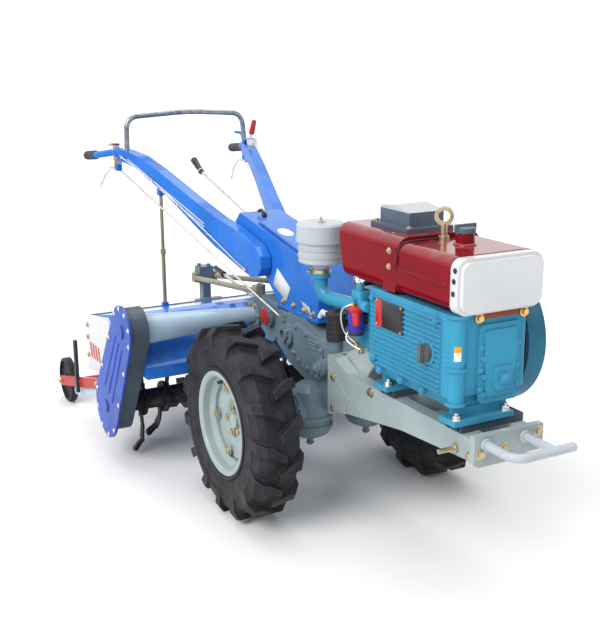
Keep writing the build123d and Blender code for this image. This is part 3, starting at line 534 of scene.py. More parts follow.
class Form:
    """One piece under construction, which shapes are added to in a chain."""

    def __init__(self) -> None:
        """Starts with an empty mesh."""
        self.mesh = bmesh.new()

    @staticmethod
    def _turned(way: Sequence[float]) -> Matrix:
        """Rotation that carries +Z to a direction."""
        return Vector(way).to_track_quat("Z", "Y").to_matrix().to_4x4()

    def _bevelled(self, verts: Sequence[bmesh.types.BMVert], width: float, segments: int = 2,
                  end_sides: int = 0) -> None:
        """Bevels the edges between the given corners.

        Args:
            verts: the corners.
            width: the bevel's width, or 0 for none.
            segments: steps in the bevel.
            end_sides: when set, only edges of faces with this many sides are bevelled.
        """
        if width > 0:
            own = set(verts)
            edges = [e for e in self.mesh.edges if own.issuperset(e.verts) and (
                not end_sides or any(len(f.verts) == end_sides for f in e.link_faces))]
            bmesh.ops.bevel(self.mesh, geom=edges, offset=width, segments=segments,
                            affect="EDGES", profile=0.5, material=-1, clamp_overlap=True)

    def block(self, low: Point, high: Point, bevel: float = 0.0015, segments: int = 2,
              turn: Matrix | None = None) -> "Form":
        """Adds a box between two corners.

        Args:
            low: its lowest corner.
            high: its highest corner.
            bevel: width of the edges' bevel.
            segments: steps in the bevel.
            turn: a turn about the box's own middle.

        Returns:
            The form itself.
        """
        a, b = Vector(low), Vector(high)
        size = Matrix.Diagonal((*(b - a), 1.0))
        matrix = Matrix.Translation((a + b) / 2) @ (turn or Matrix()) @ size
        made = bmesh.ops.create_cube(self.mesh, size=1.0, matrix=matrix)
        self._bevelled(made["verts"], bevel, segments)
        return self

    def rod(self, start: Point, end: Point, radius: float, radius_end: float | None = None,
            sides: int = 24, bevel: float = 0.0008) -> "Form":
        """Adds a round bar or cone or, with six sides, a hexagon bar.

        Args:
            start: the middle of its first end.
            end: the middle of its other end.
            radius: its radius.
            radius_end: radius at the other end, where that differs.
            sides: facets round it.
            bevel: width of the ends' bevel.

        Returns:
            The form itself.
        """
        a, b = Vector(start), Vector(end)
        made = bmesh.ops.create_cone(
            self.mesh, cap_ends=True, segments=sides, radius1=radius,
            radius2=radius if radius_end is None else radius_end, depth=(b - a).length,
            matrix=Matrix.Translation((a + b) / 2) @ self._turned(b - a))
        self._bevelled(made["verts"], bevel, end_sides=sides)
        return self

    def ball(self, centre: Point, radius: float, stretch: Triple = (1, 1, 1)) -> "Form":
        """Adds a ball, or an egg when stretched.

        Args:
            centre: its middle.
            radius: its radius.
            stretch: scale along X, Y and Z.

        Returns:
            The form itself.
        """
        matrix = Matrix.Translation(centre) @ Matrix.Diagonal((*stretch, 1.0))
        bmesh.ops.create_uvsphere(self.mesh, u_segments=20, v_segments=12, radius=radius,
                                  matrix=matrix)
        return self

    def lathe(self, profile: Sequence[Flat], centre: Point, way: Point, steps: int = 48,
              closed: bool = True) -> "Form":
        """Spins a profile about an axis.

        Args:
            profile: (radius, distance along the axis) of each point.
            centre: where the axis starts.
            way: the axis's direction.
            steps: facets in a full turn.
            closed: whether the profile's last point joins its first.

        Returns:
            The form itself.
        """
        place = Matrix.Translation(centre) @ self._turned(way)
        verts = [self.mesh.verts.new(place @ Vector((r, 0.0, h))) for r, h in profile]
        pairs = list(zip(verts, verts[1:])) + ([(verts[-1], verts[0])] if closed else [])
        edges = [self.mesh.edges.new(pair) for pair in pairs]
        bmesh.ops.spin(self.mesh, geom=verts + edges, cent=centre, axis=Vector(way).normalized(),
                       angle=2 * pi, steps=steps, use_merge=True)
        bmesh.ops.remove_doubles(self.mesh, verts=self.mesh.verts[:], dist=1e-6)
        return self

    def collar(self, centre: Point, way: Point, inner: float, outer: float, tall: float,
               steps: int = 48) -> "Form":
        """Adds a square-edged ring.

        Args:
            centre: the middle of the face that it stands on.
            way: the way that it stands.
            inner: its inner radius.
            outer: its outer radius.
            tall: its height.
            steps: facets in a full turn.

        Returns:
            The form itself.
        """
        return self.lathe([(inner, 0.0), (outer, 0.0), (outer, tall), (inner, tall)],
                          centre, way, steps)

    def plate(self, outline: Sequence[Point], thick: Point, bevel: float = 0.0) -> "Form":
        """Adds a flat plate.

        Args:
            outline: its corners.
            thick: the vector from one face to the other.
            bevel: width of the edges' bevel.

        Returns:
            The form itself.
        """
        verts = [self.mesh.verts.new(place) for place in outline]
        face = self.mesh.faces.new(verts)
        made = bmesh.ops.extrude_face_region(self.mesh, geom=[face])
        top = [v for v in made["geom"] if isinstance(v, bmesh.types.BMVert)]
        bmesh.ops.translate(self.mesh, verts=top, vec=Vector(thick))
        self._bevelled(verts + top, bevel)
        return self

    def bolts(self, places: Iterable[Point], way: Point, head: Hex,
              washer_thick: float = 0.0018) -> "Form":
        """Adds hexagon heads of one size, with their washers.

        Args:
            places: the middle of each head's seat.
            way: the way that the heads point.
            head: their size.
            washer_thick: thickness of a washer.

        Returns:
            The form itself.
        """
        along = Vector(way).normalized()
        for seat in map(Vector, places):
            if head.washer:
                self.rod(seat, seat + along * washer_thick, head.across * 0.82, sides=20,
                         bevel=0.0004)
            self.rod(seat, seat + along * head.tall, head.across * 0.577, sides=6,
                     bevel=0.0007)
        return self

    def mirrored(self) -> "Form":
        """Adds the same shapes on the machine's other side.

        Returns:
            The form itself.
        """
        made = bmesh.ops.duplicate(self.mesh, geom=self.mesh.verts[:] + self.mesh.edges[:]
                                   + self.mesh.faces[:])["geom"]
        verts = [v for v in made if isinstance(v, bmesh.types.BMVert)]
        bmesh.ops.scale(self.mesh, vec=(1, -1, 1), verts=verts)
        return self

    def done(self, name: str, finish: Finish, slot: str, body: str = "chassis",
             replaces: Sequence[str] = ()) -> None:
        """Turns the form into a finished piece.

        Args:
            name: the piece's name.
            finish: its finish.
            slot: the record's material slot; not used.
            body: the body that it rides on.
            replaces: nodes that it stands for.
        """
        bmesh.ops.recalc_face_normals(self.mesh, faces=self.mesh.faces[:])
        mesh = bpy.data.meshes.new(name)
        self.mesh.to_mesh(mesh)
        self.mesh.free()
        finished(mesh, name, finish, body, replaces)


def finished(mesh: bpy.types.Mesh, name: str, finish: Finish,
             body: str = "chassis", replaces: Sequence[str] = (), smooth: float = 40.0) -> None:
    """Puts a mesh in the scene as a piece that rides on a body.

    Args:
        mesh: the piece's mesh, in the frame.
        name: the piece's name.
        finish: its finish.
        body: the body that it rides on.
        replaces: nodes that it stands for.
        smooth: angle in degrees up to which edges are shaded smooth.
    """
    mesh.materials.clear()
    mesh.materials.append(finish.material())
    mesh.shade_smooth()
    mesh.set_sharp_from_angle(angle=radians(smooth))
    piece = bpy.data.objects.new(name, mesh)
    bpy.context.scene.collection.objects.link(piece)
    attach(piece, body)
    if replaces:
        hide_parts(*replaces)
    log.info("piece %s rides on %s, %d faces", name, body, len(mesh.polygons))


def pipes(name: str, routes: Sequence[Sequence[Point]], radius: float, finish: Finish) -> None:
    """Makes thin pipes along smooth routes, as one piece.

    Args:
        name: the piece's name.
        routes: the points of each pipe.
        radius: the pipes' radius.
        finish: their finish.
    """
    curve = bpy.data.curves.new(name + "_route", "CURVE")
    curve.dimensions = "3D"
    curve.bevel_depth = radius
    curve.bevel_resolution = 3
    curve.resolution_u = 8
    curve.use_fill_caps = True
    for route in routes:
        spline = curve.splines.new("NURBS")
        spline.points.add(len(route) - 1)
        for point, place in zip(spline.points, route):
            point.co = (*place, 1.0)
        spline.order_u = 3
        spline.use_endpoint_u = True
    holder = bpy.data.objects.new(name + "_route", curve)
    mesh = bpy.data.meshes.new_from_object(holder)
    mesh.name = name
    bpy.data.objects.remove(holder)
    finished(mesh, name, finish)


def dress(finish: Finish, *nodes: str) -> None:
    """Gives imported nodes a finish.

    Args:
        finish: the finish.
        nodes: the nodes' names.
    """
    for name in nodes:
        mesh = frame["nodes"][name].data
        mesh.materials.clear()
        mesh.materials.append(finish.material())
        log.info("node %s has finish %s", name, finish.value.name)


def joint_place(name: str) -> Vector:
    """Where a joint's axis is."""
    return next(Vector(j["pos_m"]) for j in frame["joints"] if j["name"] == name)


def across_y(y: float, spots: Iterable[Flat]) -> list[Point]:
    """Places on a side face at y, from the (x, z) of each."""
    return [(x, y, z) for x, z in spots]


def ring(centre: Point, radius: float, count: int, start: float = 0.0) -> list[Point]:
    """Places round an axis along Y.

    Args:
        centre: the ring's middle.
        radius: its radius.
        count: how many places.
        start: the first place's angle in degrees.

    Returns:
        The places.
    """
    x, y, z = centre
    angles = [radians(start) + 2 * pi * i / count for i in range(count)]
    return [(x + radius * cos(angle), y, z + radius * sin(angle)) for angle in angles]


# ============================================================ the machine's sub-assemblies
@dataclass
class DriveWheel:
    """Fittings of one drive wheel. Distances out are from the wheel's mid-plane.

    Attributes:
        hand: right or left, as in the nodes' names.
        way: +1 on the left and -1 on the right.
        count: how many hub nuts, and how many clip bolts.
        nuts: the hub nuts' radius, distance out and turn in degrees.
        nut: their size.
        clips: the same three for the clip bolts.
        clip: their size.
        bead_out: where the bead's profile starts.
        bead: (radius, distance out) of the bead by the rim.
        ridge_out: where the ridge's profile starts.
        ridge: (radius, distance out) of the ridge below the lugs.
        valve: the valve's foot, as distances out and up from the axis.
        valve_lean: the way from the foot to the stem's end, as if on the left.
        cap: where the valve's cap starts and ends, from its foot.
        stem_radius: the valve stem's radius.
        cap_radius: the cap's radius.
    """
    hand: str
    way: int
    count: int = 5
    nuts: Triple = (0.044, 0.022, 20.0)
    nut: Hex = Hex(0.017, 0.008)
    clips: Triple = (0.114, 0.030, 23.0)
    clip: Hex = Hex(0.021, 0.008)
    bead_out: float = 0.0722
    bead: tuple[Flat, ...] = ((0.1745, 0.0), (0.1785, 0.0045), (0.184, 0.0035),
                              (0.1865, -0.004), (0.176, -0.006))
    ridge_out: float = 0.0772
    ridge: tuple[Flat, ...] = ((0.2445, -0.002), (0.2465, 0.003), (0.25, 0.003), (0.252, -0.002))
    valve: Flat = (0.034, 0.146)
    valve_lean: Point = (-0.012, 0.026, -0.010)
    cap: tuple[Point, Point] = ((-0.010, 0.022, -0.008), (-0.016, 0.036, -0.013))
    stem_radius: float = 0.0042
    cap_radius: float = 0.0058

    def build(self) -> None:
        """Dresses the wheel and adds its bolts, beads and valve."""
        dress(Finish.TYRE, f"{self.hand}_tyre")
        dress(Finish.RIM, f"{self.hand}_rim")
        body = f"{self.hand}_wheel"
        hub = joint_place(f"{body}_spin")
        form = Form()
        for (radius, out, turn), head in ((self.nuts, self.nut), (self.clips, self.clip)):
            form.bolts(ring(hub + self._outward((0, out, 0)), radius, self.count,
                            90 - turn * self.way), (0, self.way, 0), head)
        form.done(f"{self.hand}_wheel_bolts", Finish.ZINC, "zinc_steel", body)
        form = Form()
        for side in (-1, 1):
            form.lathe(self.bead, hub + Vector((0, side * self.bead_out, 0)), (0, side, 0), 64)
            form.lathe(self.ridge, hub + Vector((0, side * self.ridge_out, 0)), (0, side, 0), 96)
        form.done(f"{self.hand}_tyre_beads", Finish.TYRE, "tyre_rubber", body)
        foot = hub + self._outward((0, *self.valve))
        start, end = (foot + self._outward(place) for place in self.cap)
        form = Form().rod(foot, foot + self._outward(self.valve_lean), self.stem_radius)
        form.rod(start, end, self.cap_radius, sides=12)
        form.done(f"{self.hand}_tyre_valve", Finish.BLACK_RUBBER, "black_rubber", body)

    def _outward(self, place: Point) -> Vector:
        """A vector written for the left wheel, as it is on this one."""
        return Vector((place[0], place[1] * self.way, place[2]))


@dataclass
class Chassis:
    """Frame rails, beam and bumper.

    Attributes:
        beam_bolts: (y, z) of the front beam's bolts.
        beam_bolt: their size.
        flange: from the frame's side in to the rail's web.
        rail_bolts: (x, z) of the rails' bolts.
        rail_bolt: their size.
        seams: x, lowest z and highest z of each weld seam.
        seam_y: where the right rail's seams are along Y.
        seam_radius: their radius.
        feet_x: the engine feet's bolts along X.
        feet_y: the same along Y.
        foot_z: top of the feet.
        foot_bolt: size of their nuts.
        stud: lowest z, highest z and radius of the stud in each nut.
    """
    beam_bolts: tuple[Flat, ...] = ((-0.099, 0.470), (-0.018, 0.474), (0.094, 0.500))
    beam_bolt: Hex = Hex(0.019, 0.011)
    flange: float = 0.013
    rail_bolts: tuple[Flat, ...] = ((1.158, 0.452), (0.443, 0.365), (0.666, 0.484),
                                    (0.445, 0.470))
    rail_bolt: Hex = Hex(0.019, 0.010)
    seams: tuple[Triple, ...] = ((0.4145, 0.350, 0.528), (1.168, 0.442, 0.500))
    seam_y: float = -0.1062
    seam_radius: float = 0.0035
    feet_x: Flat = (0.780, 1.108)
    feet_y: Flat = (-0.118, 0.048)
    foot_z: float = 0.542
    foot_bolt: Hex = Hex(0.019, 0.012)
    stud: Triple = (0.553, 0.562, 0.0055)

    def build(self) -> None:
        """Dresses the frame and adds its bolts and seams."""
        dress(Finish.FRAME, "chassis_frame")
        dress(Finish.PALE_GREY, "front_bumper")
        dress(Finish.ZINC, "zinc_fittings")
        dress(Finish.GRAPHITE, "engine_mounts")
        low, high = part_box("chassis_frame")
        form = Form().bolts(across_y(low.y + self.flange, self.rail_bolts), RIGHT,
                            self.rail_bolt).mirrored()
        form.bolts([(high.x, y, z) for y, z in self.beam_bolts], FRONT, self.beam_bolt)
        form.done("frame_bolts", Finish.ZINC, "zinc_steel")
        form = Form()
        for x, bottom, top in self.seams:
            form.rod((x, self.seam_y, bottom), (x, self.seam_y, top), self.seam_radius)
        form.mirrored().done("frame_weld_seams", Finish.FRAME, "frame_paint")
        form = Form()
        bottom, top, radius = self.stud
        for x in self.feet_x:
            for y in self.feet_y:
                form.bolts([(x, y, self.foot_z)], UP, self.foot_bolt)
                form.rod((x, y, bottom), (x, y, top), radius, sides=12)
        form.done("engine_foot_bolts", Finish.BRIGHT, "zinc_steel")


@dataclass
class Engine:
    """Crankcase, head and the fittings round them.

    Attributes:
        cover_x: front face of the inspection cover.
        cover_y: its bolts along Y.
        cover_z: its bolts along Z.
        cover_bolt: their size.
        window_plug: place of the plug in the cover's window.
        window_bolt: the plug's size.
        plate_in: from the engine trim's side in to the name plate's seat.
        plate_sunk: how far the plate's parts are sunk into it.
        plate_bevel: bevel of their edges.
        plate_end: lowest (x, z) and highest (x, z) of the plate's red end.
        end_stands: how far that end stands out.
        plate_face: the same corners for its black face.
        face_stands: how far the face stands out.
        rivets_x: the plate's rivets along X.
        rivets_z: the same along Z.
        rivet_radius: their radius.
        rivet_flat: how much flatter than a ball they are.
        strip: lowest and highest corner of the strip that the tank rests on.
        strip_nuts: (y, z) of its nuts.
        strip_nut: their size.
        bosses: (x, z, radius) of the round bosses on the right side.
        boss_in: from the block's side in to the wall that they stand on.
        boss_sunk: how far they are sunk into it.
        boss_stands: how far they stand out of it.
        boss_bolt: a boss bolt's size over its boss's radius, and its height.
        disc_in: from the flywheel's inner side in to its dark disc, which is painted shade.
        disc: inner radius, outer radius and thickness of that disc.
    """
    cover_x: float = 1.109
    cover_y: Flat = (-0.043, 0.079)
    cover_z: Triple = (0.614, 0.667, 0.730)
    cover_bolt: Hex = Hex(0.013, 0.006)
    window_plug: Point = (1.1288, 0.028, 0.640)
    window_bolt: Hex = Hex(0.019, 0.005)
    plate_in: float = 0.024
    plate_sunk: float = 0.002
    plate_bevel: float = 0.0006
    plate_end: tuple[Flat, Flat] = ((0.752, 0.7235), (0.785, 0.8045))
    end_stands: float = 0.0012
    plate_face: tuple[Flat, Flat] = ((0.786, 0.726), (0.884, 0.802))
    face_stands: float = 0.0016
    rivets_x: Flat = (0.757, 0.880)
    rivets_z: Flat = (0.729, 0.799)
    rivet_radius: float = 0.0035
    rivet_flat: Triple = (1, 0.6, 1)
    strip: tuple[Point, Point] = ((1.092, -0.060, 0.806), (1.106, 0.106, 0.822))
    strip_nuts: tuple[Flat, Flat] = ((-0.052, 0.812), (0.098, 0.812))
    strip_nut: Hex = Hex(0.017, 0.010)
    bosses: tuple[Triple, ...] = ((0.735, 0.622, 0.013), (0.770, 0.590, 0.010),
                                 (0.880, 0.590, 0.010), (0.985, 0.590, 0.010),
                                 (0.728, 0.800, 0.010), (1.040, 0.800, 0.010))
    boss_in: float = 0.006
    boss_sunk: float = 0.004
    boss_stands: float = 0.010
    boss_bolt: Flat = (1.1, 0.005)
    disc_in: float = 0.0035
    disc: Triple = (0.062, 0.206, 0.002)

    def build(self) -> None:
        """Dresses the engine and adds its small pieces."""
        dress(Finish.TEAL, "engine_block", "cylinder_head")
        dress(Finish.TEAL_DARK, "flywheel")
        dress(Finish.GREY_PLASTIC, "engine_trim")
        self._cover_bolts()
        self._name_plate()
        self._tank_rest()
        InjectionPump().build()
        self._side_bosses()
        self._flywheel_painted_shade()

    def _cover_bolts(self) -> None:
        """Bolts of the inspection cover, and the window's plug."""
        places = [(self.cover_x, y, z) for y in self.cover_y for z in self.cover_z]
        form = Form().bolts(places, FRONT, self.cover_bolt)
        form.bolts([self.window_plug], FRONT, self.window_bolt)
        form.done("inspection_cover_bolts", Finish.TEAL, "teal_paint")

    def _name_plate(self) -> None:
        """Blank plate with its red end and rivets."""
        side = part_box("engine_trim")[0].y + self.plate_in
        for name, finish, (low, high), stands in (
                ("plate_red_end", Finish.RED_PLASTIC, self.plate_end, self.end_stands),
                ("plate_face", Finish.BLACK_PLASTIC, self.plate_face, self.face_stands)):
            form = Form().block((low[0], side - stands, low[1]),
                                (high[0], side + self.plate_sunk, high[1]), self.plate_bevel)
            form.done(name, finish, "knob_plastic")
        form = Form()
        for x in self.rivets_x:
            for z in self.rivets_z:
                form.ball((x, side - SUNK, z), self.rivet_radius, self.rivet_flat)
        form.done("plate_rivets", Finish.BRASS, "zinc_steel")

    def _tank_rest(self) -> None:
        """Brown strip with brass nuts under the front tank cover."""
        Form().block(*self.strip, 0.002).done("tank_rest_strip", Finish.BROWN,
                                              "signal_red_paint")
        front = self.strip[1][0]
        Form().bolts([(front, y, z) for y, z in self.strip_nuts], FRONT, self.strip_nut).done(
            "tank_rest_nuts", Finish.BRASS, "zinc_steel")

    def _side_bosses(self) -> None:
        """Round bosses with their bolts on the crankcase's right side."""
        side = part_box("engine_block")[0].y + self.boss_in
        share, tall = self.boss_bolt
        form = Form()
        for x, z, radius in self.bosses:
            end = side - self.boss_stands
            form.rod((x, side + self.boss_sunk, z), (x, end, z), radius)
            form.bolts([(x, end + SUNK, z)], RIGHT, Hex(radius * share, tall, False))
        form.done("crankcase_bosses", Finish.TEAL, "teal_paint")

    def _flywheel_painted_shade(self) -> None:
        """Dark disc on the flywheel's inner side, painted shade for the dark gap between the
        engine and the flywheel.
        """
        hub = joint_place("flywheel_spin")
        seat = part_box("flywheel")[0].y + self.disc_in
        # The graphite disc is painted shade: it darkens the gap between the engine and the
        # flywheel.
        Form().collar((hub.x, seat, hub.z), RIGHT, *self.disc, 64).done(
            "flywheel_painted_shade_disc", Finish.GRAPHITE, "graphite_paint", "engine_flywheel")


@dataclass
class InjectionPump:
    """Injection pump beside the head, with its pipes.

    Attributes:
        body: lowest and highest corner of the pump's body.
        body_bevel: bevel of its edges.
        outlet: lower end, upper end and radius of the outlet on top.
        plug: inner end, outer end and radius of the hexagon plug.
        rack: rear end, front end and radius of the rack's housing.
        routes: the pipes, by the points that each one follows.
        pipe_radius: their radius.
        unions: where the pipes are screwed on.
        union_radius: the unions' radius.
        union_long: their length.
    """
    body: tuple[Point, Point] = ((0.612, -0.146, 0.742), (0.664, -0.112, 0.800))
    body_bevel: float = 0.006
    outlet: tuple[Point, Point, float] = ((0.638, -0.129, 0.792), (0.638, -0.129, 0.822), 0.012)
    plug: tuple[Point, Point, float] = ((0.638, -0.146, 0.770), (0.638, -0.160, 0.770), 0.011)
    rack: tuple[Point, Point, float] = ((0.664, -0.134, 0.760), (0.694, -0.134, 0.760), 0.016)
    routes: tuple[tuple[Point, ...], ...] = (
        ((0.638, -0.129, 0.815), (0.638, -0.132, 0.838), (0.606, -0.134, 0.838),
         (0.592, -0.120, 0.800), (0.590, -0.100, 0.770)),
        ((0.643, -0.146, 0.758), (0.640, -0.172, 0.762), (0.604, -0.176, 0.738),
         (0.600, -0.172, 0.690), (0.612, -0.160, 0.655), (0.660, -0.148, 0.640)),
        ((0.640, -0.150, 0.690), (0.622, -0.172, 0.668), (0.640, -0.172, 0.640),
         (0.690, -0.150, 0.628)))
    pipe_radius: float = 0.0032
    unions: tuple[Point, ...] = ((0.643, -0.150, 0.760), (0.662, -0.148, 0.640),
                                 (0.692, -0.150, 0.628))
    union_radius: float = 0.0085
    union_long: float = 0.012

    def build(self) -> None:
        """Adds the pump, its pipes and their unions."""
        form = Form().block(*self.body, self.body_bevel, 3)
        form.rod(*self.outlet).rod(*self.plug, sides=6).rod(*self.rack)
        form.done("injection_pump", Finish.TEAL, "teal_paint")
        pipes("injector_pipes", self.routes, self.pipe_radius, Finish.BRIGHT)
        form = Form()
        for x, y, z in self.unions:
            form.rod((x, y, z), (x, y - self.union_long, z), self.union_radius, sides=6)
        form.done("pipe_unions", Finish.BRASS, "zinc_steel")


@dataclass
class Tanks:
    """Condenser tank, fuel tank, their front cover and tops.

    Attributes:
        side_bolts: (x, z) of the bolts that hold the tanks' seam.
        side_y: the tanks' right face along Y.
        side_bolt: their size.
        cap_x: the condenser cap's bolts along X.
        cap_y: the same along Y.
        cap_z: their seat.
        cap_bolt: their size.
        vent: place of the vent bolt on the shoulder.
        vent_bolt: its size.
        cover_screws: (x, z) of the front cover's screws.
        cover_y: the cover's right face along Y.
        cover_screw: their size.
        cable: the points that the tank's cable follows.
        cable_radius: its radius.
        panel: half width, lowest z and highest z of the cover's panel.
        panel_in: from the cover's front in to the panel's back and to its front.
        neck: where the filler neck stands.
        neck_profile: (radius, height) of its rim.
        rivet: first rivet on the tank's top.
        rivet_step: from one rivet to the next.
        rivet_size: a rivet's radius and height.
        rivets: how many there are.
    """
    side_bolts: tuple[Flat, ...] = ((0.816, 0.907), (0.816, 0.952))
    side_y: float = -0.1458
    side_bolt: Hex = Hex(0.012, 0.006)
    cap_x: Flat = (0.625, 0.795)
    cap_y: Flat = (-0.066, 0.066)
    cap_z: float = 1.004
    cap_bolt: Hex = Hex(0.012, 0.007)
    vent: Point = (0.770, -0.105, 0.983)
    vent_bolt: Hex = Hex(0.016, 0.009)
    cover_screws: tuple[Flat, ...] = ((1.111, 0.949), (1.107, 0.920), (1.105, 0.887))
    cover_y: float = -0.1392
    cover_screw: Hex = Hex(0.009, 0.004)
    cable: tuple[Point, ...] = ((0.852, -0.1478, 0.915), (0.853, -0.1465, 0.950),
                                (0.855, -0.136, 0.975), (0.857, -0.115, 0.9825),
                                (0.861, -0.060, 0.983), (0.867, -0.017, 0.9835))
    cable_radius: float = 0.0022
    panel: Triple = (0.112, 0.850, 0.956)
    panel_in: Flat = (0.003, 0.0004)
    neck: Point = (0.966, 0.0, 0.9795)
    neck_profile: tuple[Flat, ...] = ((0.0225, 0.0), (0.033, 0.0), (0.032, 0.003),
                                      (0.0262, 0.007), (0.0256, 0.030), (0.0225, 0.030))
    rivet: Point = (0.868, -0.040, 0.979)
    rivet_step: Point = (0.028, -0.010, 0.0)
    rivet_size: Flat = (0.0045, 0.0025)
    rivets: int = 3

    def build(self) -> None:
        """Dresses the tanks and adds their bolts, cable, panel, filler rim and rivets."""
        dress(Finish.CRIMSON, "condenser_tank", "fuel_tank")
        dress(Finish.WHITE, "tank_front_cover")
        dress(Finish.TOPS, "tank_tops")
        form = Form().bolts(across_y(self.side_y, self.side_bolts), RIGHT,
                            self.side_bolt).mirrored()
        form.bolts([(x, y, self.cap_z) for x in self.cap_x for y in self.cap_y], UP,
                   self.cap_bolt)
        form.bolts([self.vent], (0, -0.2, 1), self.vent_bolt)
        form.done("tank_bolts", Finish.ZINC, "zinc_steel")
        Form().bolts(across_y(self.cover_y, self.cover_screws), RIGHT,
                     self.cover_screw).mirrored().done(
            "cover_screws", Finish.BLACK_PLASTIC, "grey_paint")
        pipes("tank_cable", [self.cable], self.cable_radius, Finish.BLACK_RUBBER)
        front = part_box("tank_front_cover")[1].x
        back, face = (front - depth for depth in self.panel_in)
        half, bottom, top = self.panel
        Form().block((back, -half, bottom), (face, half, top), 0.002).done(
            "cover_panel", Finish.WHITE, "white_paint")
        Form().lathe(self.neck_profile, self.neck, UP, 40).done(
            "filler_neck_rim", Finish.CRIMSON, "crimson_paint")
        form = Form()
        radius, tall = self.rivet_size
        for i in range(self.rivets):
            foot = Vector(self.rivet) + Vector(self.rivet_step) * i
            form.rod(foot, foot + Vector((0, 0, tall)), radius, sides=12)
        form.done("tank_top_rivets", Finish.CRIMSON, "crimson_paint")


@dataclass
class Intake:
    """Air cleaner, filters and silencer.

    Attributes:
        axis: the air cleaner's axis (x, y).
        bands: height and radius of the cleaner's bands.
        band_stands: how far a band stands out.
        band_sunk: how far it is sunk in.
        band_tall: a band's height.
        lid_stud: lowest z, highest z and radius of the stud on the lid.
        nut_z: seat of the nut on it.
        nut: the nut's size.
        clamp: inner radius, outer radius and height of the clamp below.
        clamp_z: where the clamp starts.
        ear: lowest and highest corner of the clamp's ear, from its middle.
        ear_bolt: seat of the ear's bolt, from the clamp's middle.
        ear_bolt_size: that bolt's size.
        bowl_axis: the fuel filter's axis (x, y).
        bowl: (radius, height) of its glass bowl, from bowl_z.
        bowl_z: the bowl's lowest point.
        cap: (radius, height) of its cap, from cap_z.
        cap_z: the cap's seat.
        port: the side port's middle, from the bowl's axis.
        port_z: its lowest and highest z.
        port_radius: its radius.
        bridge: near and far height of the bridge between the cap and the port.
        bridge_radius: its radius.
        can_axis: the black canister's axis (x, y).
        can_rib: (radius, height) of one of its ribs.
        can_ribs: how many ribs it has.
        can_z: height of the first rib.
        can_step: from one rib to the next.
        nozzle: start, end and radius of the nozzle's two lengths, (x, y) from the axis.
    """
    axis: Flat = (0.384, -0.120)
    bands: tuple[Flat, ...] = ((0.909, 0.0785), (0.885, 0.0730), (0.862, 0.0730))
    band_stands: float = 0.0016
    band_sunk: float = 0.002
    band_tall: float = 0.005
    lid_stud: Triple = (0.966, 0.986, 0.0045)
    nut_z: float = 0.968
    nut: Hex = Hex(0.018, 0.006)
    clamp: Triple = (0.0275, 0.0325, 0.012)
    clamp_z: float = 0.8065
    ear: tuple[Point, Point] = ((-0.006, -0.046, 0.002), (0.006, -0.030, 0.010))
    ear_bolt: Point = (-0.006, -0.040, 0.006)
    ear_bolt_size: Hex = Hex(0.009, 0.004)
    bowl_axis: Flat = (0.643, -0.146)
    bowl: tuple[Flat, ...] = ((0.0, 0.0), (0.018, 0.002), (0.0246, 0.010), (0.0246, 0.066),
                              (0.020, 0.072), (0.0, 0.072))
    bowl_z: float = 0.668
    cap: tuple[Flat, ...] = ((0.0, 0.0), (0.0250, 0.0), (0.0262, 0.004), (0.0262, 0.014),
                             (0.016, 0.020), (0.0, 0.020))
    cap_z: float = 0.738
    port: Flat = (0.020, -0.012)
    port_z: Flat = (0.702, 0.742)
    port_radius: float = 0.0125
    bridge: Flat = (0.744, 0.738)
    bridge_radius: float = 0.008
    can_axis: Flat = (0.377, -0.060)
    can_rib: tuple[Flat, ...] = ((0.0300, 0.0), (0.0325, 0.002), (0.0325, 0.006),
                                 (0.0300, 0.008))
    can_ribs: int = 4
    can_z: float = 0.582
    can_step: float = 0.015
    nozzle: tuple[tuple[Point, Point, float], ...] = (
        ((-0.026, -0.018, 0.655), (-0.044, -0.030, 0.660), 0.010),
        ((-0.040, -0.028, 0.662), (-0.050, -0.034, 0.640), 0.0075))

    def build(self) -> None:
        """Dresses the air cleaner, filters and silencer, and adds their small pieces."""
        dress(Finish.PALE_GREY, "air_cleaner")
        dress(Finish.HEAT_BLACK, "muffler")
        dress(Finish.BLACK_RUBBER, "filters")
        self._cleaner()
        self._fuel_filter()
        self._canister()

    def _cleaner(self) -> None:
        """Bands, stud and clamp of the air cleaner."""
        x, y = self.axis
        form = Form()
        for z, radius in self.bands:
            form.collar((x, y, z), UP, radius - self.band_sunk, radius + self.band_stands,
                        self.band_tall, 56)
        bottom, top, radius = self.lid_stud
        form.rod((x, y, bottom), (x, y, top), radius, sides=16)
        form.bolts([(x, y, self.nut_z)], UP, self.nut)
        form.done("air_cleaner_bands", Finish.PALE_GREY, "grey_paint")
        middle = Vector((x, y, self.clamp_z))
        low, high, bolt = (middle + Vector(part) for part in (*self.ear, self.ear_bolt))
        form = Form().collar(middle, UP, *self.clamp, 40).block(low, high, 0.001)
        form.bolts([bolt], BACK, self.ear_bolt_size)
        form.done("intake_clamp", Finish.ZINC, "zinc_steel")

    def _fuel_filter(self) -> None:
        """Bowl and red cap of the fuel filter, with the cap's side port."""
        x, y = self.bowl_axis
        Form().lathe(self.bowl, (x, y, self.bowl_z), UP, 32, False).done(
            "filter_bowl", Finish.NAVY, "heat_black_paint")
        form = Form().lathe(self.cap, (x, y, self.cap_z), UP, 32, False)
        port_x, port_y = x + self.port[0], y + self.port[1]
        bottom, top = ((port_x, port_y, z) for z in self.port_z)
        form.rod(bottom, top, self.port_radius)
        near, far = self.bridge
        form.rod((x, y - 0.004, near), (port_x, port_y, far), self.bridge_radius)
        form.done("filter_cap", Finish.RED_PLASTIC, "knob_plastic")

    def _canister(self) -> None:
        """Ribs and white nozzle of the black canister."""
        x, y = self.can_axis
        form = Form()
        for i in range(self.can_ribs):
            form.lathe(self.can_rib, (x, y, self.can_z + self.can_step * i), UP, 32)
        form.done("canister_ribs", Finish.BLACK_RUBBER, "heat_black_paint")
        axis = Vector((x, y, 0.0))
        form = Form()
        for start, end, radius in self.nozzle:
            form.rod(axis + Vector(start), axis + Vector(end), radius)
        form.done("canister_nozzle", Finish.LABEL, "white_paint")


